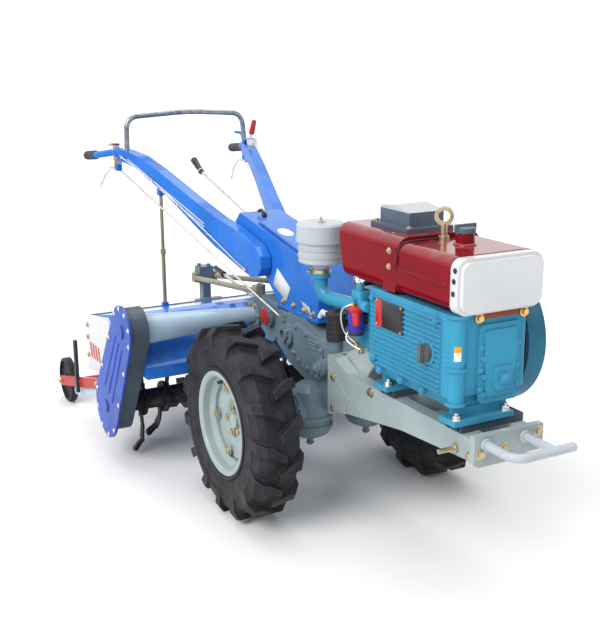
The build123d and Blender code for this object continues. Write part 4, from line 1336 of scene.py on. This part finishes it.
@dataclass
class BeltDrive:
    """Belts, clutch drum and guard.

    Attributes:
        guard_bolts: (x, z) of the guard's bolts.
        guard_bolt: their size.
        rib: lowest (x, z) and highest (x, z) of the guard's first rib.
        ribs: how many ribs it has.
        rib_step: from one rib to the next.
        rib_stands: how far a rib stands out of the guard.
    """
    guard_bolts: tuple[Flat, ...] = ((0.110, 0.610), (0.060, 0.540), (0.190, 0.680),
                                     (0.450, 0.740), (0.560, 0.690), (0.330, 0.470))
    guard_bolt: Hex = Hex(0.014, 0.007)
    rib: tuple[Flat, Flat] = ((0.250, 0.540), (0.262, 0.640))
    ribs: int = 5
    rib_step: float = 0.040
    rib_stands: float = 0.003

    def build(self) -> None:
        """Dresses the belt drive and adds the guard's bolts and ribs."""
        dress(Finish.SLATE, "belt_guard", "clutch_pulley")
        dress(Finish.BLACK_RUBBER, "drive_belts")
        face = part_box("belt_guard")[1].y
        Form().bolts(across_y(face, self.guard_bolts), LEFT, self.guard_bolt).done(
            "guard_bolts", Finish.ZINC, "zinc_steel")
        form = Form()
        low, high = self.rib
        for i in range(self.ribs):
            along = self.rib_step * i
            form.block((low[0] + along, face - SUNK, low[1]),
                       (high[0] + along, face + self.rib_stands, high[1]), 0.0012)
        form.done("guard_ribs", Finish.SLATE, "slate_paint")


@dataclass
class Gearbox:
    """Gearbox and final drive.

    Attributes:
        plate_y: right face of the side plate along Y.
        plate_bolts: (x, z) of its bolts.
        plate_bolt: their size.
        shaft: middle of the shaft's seat on that plate.
        shaft_bolts: radius, count and turn in degrees of the bolts round it.
        shaft_bolt: their size.
        collar: inner radius, outer radius and thickness of the collar round it.
        axle: the half axles' (x, z).
        flange_y: where the right half axle's flange starts along Y.
        flange: its inner radius, outer radius and thickness.
        flange_seat: where its bolts' seat is along Y.
        flange_bolts: the bolts' radius, count and turn in degrees.
        flange_bolt: their size.
        drain: the right final drive's drain plug.
        drain_bolt: its size.
        cap: the middle bolt's seat on the case's round cap.
        cap_middle: that bolt's size.
        cap_in: from that seat in to the seat of the bolts round it.
        cap_bolts: their radius, count and turn in degrees.
        cap_bolt: their size.
        plug: the level plug's seat.
        plug_bolt: its size.
    """
    plate_y: float = -0.103
    plate_bolts: tuple[Flat, ...] = ((0.176, 0.572), (0.168, 0.478), (0.198, 0.459),
                                     (0.262, 0.448), (0.324, 0.438), (0.344, 0.462),
                                     (0.352, 0.532), (0.328, 0.551), (0.250, 0.564))
    plate_bolt: Hex = Hex(0.013, 0.006)
    shaft: Point = (0.109, -0.108, 0.528)
    shaft_bolts: tuple[float, int, float] = (0.030, 4, 45)
    shaft_bolt: Hex = Hex(0.010, 0.005)
    collar: Triple = (0.020, 0.0225, 0.012)
    axle: Flat = (0.285, 0.320)
    flange_y: float = -0.176
    flange: Triple = (0.064, 0.074, 0.008)
    flange_seat: float = -0.1838
    flange_bolts: tuple[float, int, float] = (0.069, 8, 22)
    flange_bolt: Hex = Hex(0.011, 0.006, False)
    drain: Point = (0.294, -0.112, 0.1955)
    drain_bolt: Hex = Hex(0.017, 0.008)
    cap: Point = (0.367, -0.1318, 0.480)
    cap_middle: Hex = Hex(0.020, 0.009)
    cap_in: float = 0.014
    cap_bolts: tuple[float, int, float] = (0.0245, 4, 45)
    cap_bolt: Hex = Hex(0.008, 0.004, False)
    plug: Point = (0.150, -0.095, 0.470)
    plug_bolt: Hex = Hex(0.020, 0.010)

    def build(self) -> None:
        """Dresses the case and adds its bolts, flanges and plugs."""
        dress(Finish.SLATE, "gearbox_case")
        form = Form().bolts(across_y(self.plate_y, self.plate_bolts), RIGHT, self.plate_bolt)
        form.bolts(ring(self.shaft, *self.shaft_bolts), RIGHT, self.shaft_bolt)
        form.done("gearbox_bolts", Finish.SLATE, "slate_paint")
        x, z = self.axle
        form = Form().collar((x, self.flange_y, z), RIGHT, *self.flange)
        form.bolts(ring((x, self.flange_seat, z), *self.flange_bolts), RIGHT, self.flange_bolt)
        form.bolts([self.drain], DOWN, self.drain_bolt).mirrored()
        x, y, z = self.cap
        form.bolts([self.cap], RIGHT, self.cap_middle)
        form.bolts(ring((x, y + self.cap_in, z), *self.cap_bolts), RIGHT, self.cap_bolt)
        x, y, z = self.shaft
        form.collar((x, y - SUNK / 2, z), RIGHT, *self.collar, 32)
        form.done("housing_flanges", Finish.SLATE, "slate_paint")
        Form().bolts([self.plug], RIGHT, self.plug_bolt).done(
            "gearbox_plugs", Finish.BRIGHT, "zinc_steel")


@dataclass
class Console:
    """Blue console over the gearbox, with its lid.

    Attributes:
        side: the console's right face along Y.
        bolts_x: the foot bolts along X.
        bolts_z: their height.
        bolt: their size.
        label: (x, z) of the label's corners.
        label_thick: the label's thickness.
        bracket: (x, z) of the bracket's corners.
        bracket_thick: the bracket's thickness.
        lid: the lid's middle.
        lid_fall: how far the lid falls over lid_run.
        lid_run: the length over which it falls.
        lid_half: half the length and half the width of its dark edge, which is painted shade.
        lid_edge: lowest and highest z of that edge.
        oval: middle of the lid's oval plate, from the lid's middle, along its slope.
        oval_size: the oval plate's half axes and thickness.
        hook: the foot of the lid's hook.
        hook_bars: start, end, radius and facets of its three lengths, from its foot.
    """
    side: float = -0.0842
    bolts_x: tuple[float, ...] = (0.055, 0.130, 0.205, 0.272)
    bolts_z: float = 0.636
    bolt: Hex = Hex(0.015, 0.008)
    label: tuple[Flat, ...] = ((0.008, 0.747), (0.106, 0.694), (0.075, 0.639), (-0.025, 0.682))
    label_thick: float = 0.0008
    bracket: tuple[Flat, ...] = ((0.189, 0.666), (0.240, 0.655), (0.262, 0.618), (0.215, 0.628))
    bracket_thick: float = 0.002
    lid: Point = (0.0, 0.0, 0.848)
    lid_fall: float = 0.072
    lid_run: float = 0.370
    lid_half: Flat = (0.168, 0.0725)
    lid_edge: Flat = (0.8495, 0.8535)
    oval: Point = (-0.030, -0.032, 0.0112)
    oval_size: Triple = (0.040, 0.026, 0.0012)
    hook: Point = (-0.228, -0.016, 0.8905)
    hook_bars: tuple[tuple[Point, Point, float, int], ...] = (
        ((0.0, 0.0, 0.0), (0.0, 0.0, 0.014), 0.010, 16),
        ((0.002, 0.001, 0.010), (-0.016, -0.006, 0.026), 0.0065, 24),
        ((-0.014, -0.005, 0.026), (-0.030, -0.010, 0.018), 0.006, 24))

    def build(self) -> None:
        """Dresses the console and adds its bolts, label, bracket and lid."""
        dress(Finish.BLUE, "console")
        Form().bolts([(x, self.side, self.bolts_z) for x in self.bolts_x], RIGHT,
                     self.bolt).mirrored().done("console_bolts", Finish.ZINC, "zinc_steel")
        Form().plate(across_y(self.side - 0.0003, self.label), (0, -self.label_thick, 0),
                     0.0003).done("console_label", Finish.LABEL, "white_paint")
        Form().plate(across_y(self.side - 0.0004, self.bracket), (0, -self.bracket_thick, 0),
                     0.0006).done("console_bracket", Finish.BRIGHT, "zinc_steel")
        self._lid()

    def _lid(self) -> None:
        """Dark edge round the lid, painted shade along its base, with the lid's oval plate and
        its hook.
        """
        slope = Matrix.Rotation(atan2(self.lid_fall, self.lid_run), 4, "Y")
        (long, wide), (bottom, top) = self.lid_half, self.lid_edge
        # The navy edge is painted shade in the crease round the raised lid.
        Form().block((-long, -wide, bottom), (long, wide, top), 0.0018, 2, slope).done(
            "lid_painted_shade_edge", Finish.NAVY, "blue_paint")
        form = Form()
        middle = Vector(self.lid) + slope @ Vector(self.oval)
        bmesh.ops.create_cone(form.mesh, cap_ends=True, segments=40, radius1=1.0, radius2=1.0,
                              depth=1.0, matrix=Matrix.Translation(middle) @ slope
                              @ Matrix.Diagonal((*self.oval_size, 1.0)))
        form.done("lid_oval_plate", Finish.LABEL, "white_paint")
        form = Form()
        foot = Vector(self.hook)
        for start, end, radius, sides in self.hook_bars:
            form.rod(foot + Vector(start), foot + Vector(end), radius, sides=sides)
        form.done("lid_hook", Finish.BLACK_PLASTIC, "black_rubber")


@dataclass
class Handles:
    """Arms, bars, grips and hoop.

    Attributes:
        grip_start: front end of the left grip on the bar's axis.
        grip_end: its rear end.
        grip_rings: how many rings it has.
        grip_radius: its radius over the rings.
        grip_waist: its radius between them.
        bar_radius: radius of the bar inside it.
        flange_radius: radius of its first and last edge.
        ring_front: from its front end to the first ring.
        ring_rear: from the last ring to its rear end.
        ring_shares: where the waist starts and ends, as shares of a ring's length.
        end_radius: radius of its rounded end.
        arm: where the right arm's outer face starts (x, y).
        arm_way: the way that the face runs (x, y).
        stripe_spans: where each pair of stripes starts and ends along the face.
        stripe_wide: a stripe's width.
        stripe_thick: its thickness.
        stripe_gap: from one stripe to the next.
        stripe_z: the stripes' height where the face starts.
        stripe_rise: how much they rise along it.
        clamp: front end, rear end and radius of the clamp on the right bar.
        lugs: lowest and highest corner of the two lugs below that clamp.
        pins: seats of the right lugs' pins.
        pin_heads: the pins' sizes.
        pivot: the right arm's pivot bolt, as a distance along the face and a height.
        pivot_bolt: its size.
        stud: start, end and radius of its stud, as distances out of the face.
        throttle: lowest and highest corner of the throttle's bracket on the left arm.
        throttle_bars: start and end of its lever's two lengths.
        throttle_radius: the lever's radius.
        right_clamp: lowest and highest corner of the brown clamp on the right bar.
    """
    grip_start: Point = (-1.191, 0.352, 1.0554)
    grip_end: Point = (-1.3189, 0.352, 1.0424)
    grip_rings: int = 22
    grip_radius: float = 0.0198
    grip_waist: float = 0.0184
    bar_radius: float = 0.0155
    flange_radius: float = 0.0196
    ring_front: float = 0.008
    ring_rear: float = 0.008
    ring_shares: Flat = (0.35, 0.65)
    end_radius: float = 0.0165
    arm: Flat = (-0.366, -0.146)
    arm_way: Flat = (-0.654, -0.165)
    stripe_spans: tuple[Flat, Flat] = ((0.085, 0.600), (-0.085, -0.045))
    stripe_wide: float = 0.005
    stripe_thick: float = 0.0006
    stripe_gap: float = 0.012
    stripe_z: float = 0.796
    stripe_rise: float = 0.408
    clamp: tuple[Point, Point, float] = ((-1.028, -0.290, 1.0705), (-1.064, -0.3005, 1.0745),
                                         0.0235)
    lugs: tuple[tuple[Point, Point], ...] = (
        ((-1.064, -0.312, 1.012), (-1.036, -0.286, 1.066)),
        ((-1.052, -0.318, 1.000), (-1.018, -0.296, 1.026)))
    pins: tuple[Point, Point] = ((-1.050, -0.312, 1.048), (-1.050, -0.3125, 1.022))
    pin_heads: tuple[Hex, Hex] = (Hex(0.013, 0.008), Hex(0.011, 0.007))
    pivot: Flat = (-0.196, 0.7445)
    pivot_bolt: Hex = Hex(0.024, 0.012)
    stud: Triple = (0.012, 0.024, 0.006)
    throttle: tuple[Point, Point] = ((-1.012, 0.262, 1.074), (-0.950, 0.306, 1.114))
    throttle_bars: tuple[tuple[Point, Point], ...] = (
        ((-1.046, 0.292, 1.088), (-1.066, 0.285, 1.136)),
        ((-1.064, 0.286, 1.132), (-1.098, 0.272, 1.134)))
    throttle_radius: float = 0.006
    right_clamp: tuple[Point, Point] = ((-1.088, -0.318, 1.1055), (-1.058, -0.286, 1.1115))

    def build(self) -> None:
        """Dresses the handles and adds their grips, stripes and brackets."""
        dress(Finish.BLUE, "handle_arms", "handle_bars")
        dress(Finish.HOOP, "handle_hoop")
        self._grips()
        self._stripes()
        self._brackets()
        self._bolts()

    def _grips(self) -> None:
        """Ribbed grips in place of the plain ones."""
        start, end = Vector(self.grip_start), Vector(self.grip_end)
        length = (end - start).length
        step = (length - self.ring_front - self.ring_rear) / self.grip_rings
        waist, rise = (share * step for share in self.ring_shares)
        profile = [(self.bar_radius, 0.0), (self.flange_radius, 0.0)]
        for i in range(self.grip_rings):
            at = self.ring_front + i * step
            profile += [(self.grip_radius, at), (self.grip_waist, at + waist),
                        (self.grip_waist, at + rise)]
        inside = length - 0.006
        profile += [(self.flange_radius, inside), (self.end_radius, length - 0.0008),
                    (0.0, length - 0.0002), (0.0, inside), (self.bar_radius, inside)]
        Form().lathe(profile, start, end - start, 32).mirrored().done(
            "ribbed_grips", Finish.GRIP, "black_rubber", replaces=("hand_grips",))

    def _face(self, along: float, z: float, out: float = 0.0) -> Vector:
        """A point by the arm's outer face.

        Args:
            along: distance along the face.
            z: the point's height.
            out: distance out of the face.

        Returns:
            The point.
        """
        way = Vector((*self.arm_way, 0.0)).normalized()
        return Vector((*self.arm, z)) + way * along + Vector((-way.y, way.x, 0.0)) * out

    def _stripes(self) -> None:
        """White double stripes along both arms' outer faces."""
        form = Form()
        thick = self._face(0.0, 0.0, self.stripe_thick) - self._face(0.0, 0.0)
        for start, end in self.stripe_spans:
            for lift in (0.0, self.stripe_gap):
                low, high = (self.stripe_z + self.stripe_rise * t + lift for t in (start, end))
                form.plate([self._face(start, low), self._face(end, high),
                            self._face(end, high + self.stripe_wide),
                            self._face(start, low + self.stripe_wide)], thick)
        form.mirrored().done("arm_stripes", Finish.LABEL, "white_paint")

    def _brackets(self) -> None:
        """Clamps with their lugs on both bars, the throttle's bracket and the brown clamp."""
        form = Form().rod(*self.clamp)
        for low, high in self.lugs:
            form.block(low, high, 0.003)
        form.mirrored().block(*self.throttle, 0.004)
        for start, end in self.throttle_bars:
            form.rod(start, end, self.throttle_radius)
        form.done("lever_brackets", Finish.BLUE, "blue_paint")
        Form().block(*self.right_clamp, 0.002).done("bar_clamp", Finish.BROWN,
                                                    "signal_red_paint")

    def _bolts(self) -> None:
        """Pins of both sides' lugs, and the right arm's pivot with its stud."""
        form = Form()
        for place, head in zip(self.pins, self.pin_heads):
            form.bolts([place], RIGHT, head)
        form.mirrored().bolts([self._face(*self.pivot, SUNK)], RIGHT, self.pivot_bolt)
        start, end, radius = self.stud
        form.rod(self._face(*self.pivot, start), self._face(*self.pivot, end), radius)
        form.done("handle_bolts", Finish.BRASS, "zinc_steel")


@dataclass
class Controls:
    """Levers, knobs and rods.

    Attributes:
        collar: lower end, upper end and radius of the collar below the shift lever's knob.
    """
    collar: tuple[Point, Point, float] = ((-0.858, 0.0, 0.9945), (-0.866, 0.0, 0.9968), 0.0135)

    def build(self) -> None:
        """Dresses the levers and their knobs."""
        dress(Finish.BRIGHT, "levers", "control_rods")
        dress(Finish.KNOBS, "lever_knobs")
        Form().rod(*self.collar).done("shift_knob_collar", Finish.BRIGHT, "zinc_steel")


@dataclass
class TillerDrive:
    """Gearcase, tapered tube and chain case.

    Attributes:
        shaft: the upper chain wheel's (x, z).
        upper_radius: radius of the bolts round that end of the cover.
        lower_radius: the same round the rotor's end.
        end_bolts: how many bolts each end has.
        end_turn: radians from one of them to the next.
        side_bolts: where the bolts between them are, as shares of the way up.
        side_half: half the cover's width over those bolts at the rotor.
        side_taper: how much narrower it is at the other end.
        cover_in: from the cover's right side in to its face.
        cover_bolt: size of the cover's bolts.
        ribs: how far out the pressed ribs run at their lower and upper ends.
        rib_span: where they start and end, as shares of the way up.
        rib_radius: their radius at the lower and upper ends.
        cap: place of the gearcase's red cap.
        cap_profile: (radius, height) of it.
        cap_in: from the cap's seat in to the seat of the bolts round it.
        cap_bolts: their radius, count and turn in degrees.
        cap_bolt: their size.
        shaft_y: seat of the bolts round the upper shaft.
        shaft_bolts: their radius and count.
        shaft_bolt: their size.
    """
    shaft: Flat = (-0.145, 0.547)
    upper_radius: float = 0.083
    lower_radius: float = 0.108
    end_bolts: int = 5
    end_turn: float = pi / 4.4
    side_bolts: Flat = (0.3, 0.7)
    side_half: float = 0.107
    side_taper: float = 0.025
    cover_in: float = 0.005
    cover_bolt: Hex = Hex(0.011, 0.004)
    ribs: Flat = (0.045, 0.036)
    rib_span: Flat = (0.18, 0.86)
    rib_radius: Flat = (0.0045, 0.0035)
    cap: Point = (-0.027, -0.120, 0.566)
    cap_profile: tuple[Flat, ...] = ((0.0, 0.0), (0.030, 0.0), (0.030, 0.002), (0.024, 0.004),
                                     (0.0, 0.0045))
    cap_in: float = 0.008
    cap_bolts: tuple[float, int, float] = (0.034, 4, 45)
    cap_bolt: Hex = Hex(0.009, 0.005, False)
    shaft_y: float = -0.110
    shaft_bolts: tuple[float, int] = (0.040, 6)
    shaft_bolt: Hex = Hex(0.012, 0.008)

    def build(self) -> None:
        """Dresses the tiller's drive and adds its bolts."""
        dress(Finish.SLATE, "tiller_gearcase")
        dress(Finish.SILVER_BLUE, "tiller_tube")
        dress(Finish.GRAPHITE, "chain_case", "rotor_bearing")
        dress(Finish.COVER, "chain_cover")
        self._cover()
        Form().lathe(self.cap_profile, self.cap, RIGHT, 40, False).done(
            "gearcase_red_cap", Finish.RED, "signal_red_paint")
        x, y, z = self.cap
        form = Form().bolts(ring((x, y + self.cap_in, z), *self.cap_bolts), RIGHT,
                            self.cap_bolt)
        x, z = self.shaft
        form.bolts(ring((x, self.shaft_y, z), *self.shaft_bolts), RIGHT, self.shaft_bolt)
        form.done("gearcase_bolts", Finish.ZINC, "zinc_steel")

    def _cover(self) -> None:
        """Bolts round the chain cover's edge, and its pressed ribs."""
        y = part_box("chain_cover")[0].y + self.cover_in
        low = joint_place("rotor_spin")
        low.y = y
        high = Vector((self.shaft[0], y, self.shaft[1]))
        way = (high - low).normalized()
        across = Vector((-way.z, 0.0, way.x))
        places = []
        for centre, radius, turn in ((high, self.upper_radius, 0.0),
                                     (low, self.lower_radius, pi)):
            for i in range(self.end_bolts):
                angle = turn + (i - self.end_bolts // 2) * self.end_turn
                places.append(centre + (way * cos(angle) + across * sin(angle)) * radius)
        for sign in (-1, 1):
            for share in self.side_bolts:
                half = self.side_half - self.side_taper * share
                places.append(low.lerp(high, share) + across * sign * half)
        Form().bolts(places, RIGHT, self.cover_bolt).done(
            "chain_cover_bolts", Finish.BRIGHT, "zinc_steel")
        form = Form()
        for sign in (-1, 0, 1):
            start, end = (low.lerp(high, share) + across * sign * out + Vector((0, SUNK, 0))
                          for share, out in zip(self.rib_span, self.ribs))
            form.rod(start, end, *self.rib_radius, 16)
        form.done("chain_cover_ribs", Finish.COVER, "blue_paint")


@dataclass
class Rotor:
    """Tined rotor under the hood.

    Attributes:
        flanges: how many pairs of tines it has.
        first_y: where the first pair is.
        pitch: from one pair to the next.
        start: the first pair's angle in degrees.
        turn: degrees from one pair to the next.
        bolt_radii: how far from the axis the bolts of a tine are.
        seat: from the pair's middle out to the bolts' seat.
        bolt: their size.
    """
    flanges: int = 12
    first_y: float = -0.480
    pitch: float = 0.087
    start: float = 168.0
    turn: float = 30.0
    bolt_radii: Flat = (0.040, 0.054)
    seat: float = 0.012
    bolt: Hex = Hex(0.012, 0.006)

    def build(self) -> None:
        """Dresses the rotor and adds the tines' bolts."""
        dress(Finish.TINE, "tiller_rotor")
        hub = joint_place("rotor_spin")
        form = Form()
        for i in range(self.flanges):
            middle = hub + Vector((0, self.first_y + self.pitch * i, 0))
            for side, angle in ((-1, 0.0), (1, pi)):
                angle += radians(self.start + self.turn * i)
                spoke = Vector((sin(angle), 0.0, cos(angle)))
                form.bolts([middle + spoke * radius + Vector((0, side * self.seat, 0))
                            for radius in self.bolt_radii], (0, side, 0), self.bolt)
        form.done("tine_bolts", Finish.GRAPHITE, "blade_steel", "rotor")


@dataclass
class Hood:
    """Hood over the rotor, with its side shields.

    Attributes:
        strip_z: height of the strip along the hood's rear edge.
        strip_radius: its radius.
        shield_bolts: (x, z) of the shields' bolts.
        shield_bolt: their size.
        stripes: how many red stripes a shield has.
        stripe_x: rear foot of the first stripe.
        stripe_step: from one stripe to the next.
        stripe: (x, z) of a stripe's corners, x from its rear foot.
        stripe_out: from the shield out to the stripe's back.
        stripe_thick: a stripe's thickness.
    """
    strip_z: float = 0.4585
    strip_radius: float = 0.0055
    shield_bolts: tuple[Flat, ...] = ((-0.745, 0.425), (-0.745, 0.375), (-0.745, 0.300),
                                      (-0.480, 0.430))
    shield_bolt: Hex = Hex(0.014, 0.008)
    stripes: int = 4
    stripe_x: float = -0.715
    stripe_step: float = 0.034
    stripe: tuple[Flat, ...] = ((0.0, 0.300), (0.020, 0.300), (0.006, 0.360), (-0.014, 0.360))
    stripe_out: float = 0.0002
    stripe_thick: float = 0.0006

    def build(self) -> None:
        """Dresses the hood and adds its edge strip, bolts and stripes."""
        dress(Finish.BLUE, "tiller_hood")
        dress(Finish.WHITE, "side_shields")
        low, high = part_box("tiller_hood")
        rear = low.x + self.strip_radius + 0.0005
        Form().rod((rear, low.y + SUNK, self.strip_z), (rear, high.y - SUNK, self.strip_z),
                   self.strip_radius, sides=12).done(
            "hood_edge_strip", Finish.GRAPHITE, "graphite_paint")
        low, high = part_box("side_shields")
        form = Form().bolts(across_y(low.y, self.shield_bolts), RIGHT, self.shield_bolt)
        form.bolts(across_y(high.y, self.shield_bolts), LEFT, self.shield_bolt)
        form.done("shield_bolts", Finish.ZINC, "zinc_steel")
        form = Form()
        for i in range(self.stripes):
            foot = self.stripe_x + self.stripe_step * i
            form.plate([(foot + x, low.y - self.stripe_out, z) for x, z in self.stripe],
                       (0, -self.stripe_thick, 0))
        form.mirrored().done("shield_stripes", Finish.RED_PLASTIC, "signal_red_paint")


@dataclass
class TailGear:
    """Depth wheels, their arms, the centre post and stays.

    Attributes:
        arm_bolts: (x, z) of the bolts along a depth arm.
        arm_y: where the right arm's bolts are along Y.
        arm_bolt: their size.
        screw: (x, y, z) of the depth screw's lowest turn.
        turns: how many turns of its thread are seen.
        lead: from one turn to the next.
        thread: (radius, height) of one turn.
    """
    arm_bolts: tuple[Flat, ...] = ((-1.087, 0.096), (-0.798, 0.170), (-0.540, 0.240))
    arm_y: float = -0.5975
    arm_bolt: Hex = Hex(0.017, 0.010)
    screw: Point = (-0.853, 0.0, 0.205)
    turns: int = 14
    lead: float = 0.0135
    thread: tuple[Flat, ...] = ((0.0105, 0.0), (0.0145, 0.002), (0.0145, 0.005),
                                (0.0105, 0.007))

    def build(self) -> None:
        """Dresses the tail gear and adds its bolts and the depth screw's thread."""
        dress(Finish.RED, "depth_arms")
        dress(Finish.BEIGE, "tail_stays")
        dress(Finish.POSTS, "tail_posts")
        dress(Finish.SILVER_BLUE, "tail_bars")
        dress(Finish.SMALL_TYRE, "right_depth_wheel", "left_depth_wheel")
        Form().bolts(across_y(self.arm_y, self.arm_bolts), RIGHT, self.arm_bolt).mirrored().done(
            "depth_arm_bolts", Finish.ZINC, "zinc_steel")
        form = Form()
        for i in range(self.turns):
            form.lathe(self.thread, Vector(self.screw) + Vector((0, 0, self.lead * i)), UP, 24)
        form.done("depth_screw_thread", Finish.BRIGHT, "zinc_steel")


@dataclass(frozen=True)
class Lamp:
    """A sun lamp of the studio.

    Attributes:
        name: the lamp's name.
        place: where it stands, which sets its direction.
        spread: how wide it looks, in degrees.
        power: its strength.
    """
    name: str
    place: Point
    spread: float
    power: float


@dataclass
class Stage:
    """Floor, backdrop, lights and camera.

    Attributes:
        place: where the camera stands.
        azimuth: its turn about Z in degrees.
        pitch: how far down it looks, in degrees.
        roll: its roll in degrees.
        lens: focal length in millimetres.
        lamps: the lamps.
        target: what the lamps point at.
        shade: how much dimmer the white surroundings light the object than they look.
        floor_half: half the floor's width.
        floor_tones: the floor's two colours.
    """
    place: Point = (3.1528, -1.6866, 1.5003)
    azimuth: float = 61.7186
    pitch: float = 14.5095
    roll: float = -0.3440
    lens: float = 58.85
    lamps: tuple[Lamp, ...] = (Lamp("key", (1.4, -4.0, 4.0), 40.0, 2.3),
                               Lamp("top", (-0.6, 0.6, 4.6), 60.0, 1.5))
    target: Point = (0.1, 0.0, 0.5)
    shade: float = 0.45
    floor_half: float = 30.0
    floor_tones: tuple[Colour, Colour] = ((0.86, 0.86, 0.86), (0.89, 0.89, 0.89))

    def build(self) -> None:
        """Sets the stage."""
        bpy.context.scene.view_settings.view_transform = "Standard"
        self._floor()
        self._world()
        for lamp in self.lamps:
            self._light(lamp)
        self._camera()

    def _floor(self) -> None:
        """Pale plain floor."""
        mesh = bpy.data.meshes.new("stage_floor")
        form = bmesh.new()
        bmesh.ops.create_grid(form, x_segments=1, y_segments=1, size=self.floor_half)
        form.to_mesh(mesh)
        form.free()
        floor = bpy.data.objects.new("stage_floor", mesh)
        bpy.context.scene.collection.objects.link(floor)
        g = Graph("stage_floor_paint")
        cloud = g.noise(g.place(), 0.7, 2.0)
        mesh.materials.append(g.surface(Base_Color=g.mix(*self.floor_tones, cloud),
                                        Roughness=0.9))

    def _world(self) -> None:
        """White surroundings, dimmer as light on the object than as a backdrop."""
        world = bpy.data.worlds.new("studio")
        bpy.context.scene.world = world
        world.use_nodes = True
        tree = world.node_tree
        background = tree.nodes["Background"]
        background.inputs["Color"].default_value = (1.0, 1.0, 1.0, 1.0)
        path = tree.nodes.new("ShaderNodeLightPath")
        dimmed = tree.nodes.new("ShaderNodeMath")
        dimmed.operation = "MULTIPLY_ADD"
        dimmed.inputs[1].default_value = -self.shade
        dimmed.inputs[2].default_value = 1.0
        tree.links.new(path.outputs["Is Diffuse Ray"], dimmed.inputs[0])
        tree.links.new(dimmed.outputs[0], background.inputs["Strength"])

    def _light(self, lamp: Lamp) -> None:
        """Puts up one lamp, pointed at the target.

        Args:
            lamp: the lamp's sizes and place.
        """
        data = bpy.data.lights.new(lamp.name, "SUN")
        data.angle = radians(lamp.spread)
        data.energy = lamp.power
        light = bpy.data.objects.new(lamp.name, data)
        light.location = lamp.place
        way = Vector(self.target) - Vector(lamp.place)
        light.rotation_euler = way.to_track_quat("-Z", "Y").to_euler()
        bpy.context.scene.collection.objects.link(light)

    def _camera(self) -> None:
        """Camera at its place, turned by azimuth, pitch and roll."""
        azimuth, pitch, roll = (radians(a) for a in (self.azimuth, self.pitch, self.roll))
        back = Vector((sin(azimuth) * cos(pitch), -cos(azimuth) * cos(pitch), sin(pitch)))
        right = (-back).cross(Vector(UP)).normalized()
        up = right.cross(-back)
        across = right * cos(roll) + up * sin(roll)
        upward = up * cos(roll) - right * sin(roll)
        turn = Matrix((across, upward, back)).transposed()
        data = bpy.data.cameras.new("camera")
        data.lens = self.lens
        data.sensor_width = 36.0
        data.clip_end = 100.0
        camera = bpy.data.objects.new("camera", data)
        camera.matrix_world = Matrix.Translation(self.place) @ turn.to_4x4()
        bpy.context.scene.collection.objects.link(camera)
        bpy.context.scene.camera = camera


def main() -> None:
    """Builds the stage and the sub-assemblies in order."""
    logging.basicConfig(level=logging.INFO, format="%(message)s")
    Stage().build()
    for part in (DriveWheel("right", -1), DriveWheel("left", 1), Chassis(), Engine(), Tanks(),
                 Intake(), BeltDrive(), Gearbox(), Console(), Handles(), Controls(),
                 TillerDrive(), Rotor(), Hood(), TailGear()):
        part.build()
        log.info("%s done", type(part).__name__)


if __name__ == "__main__":
    main()
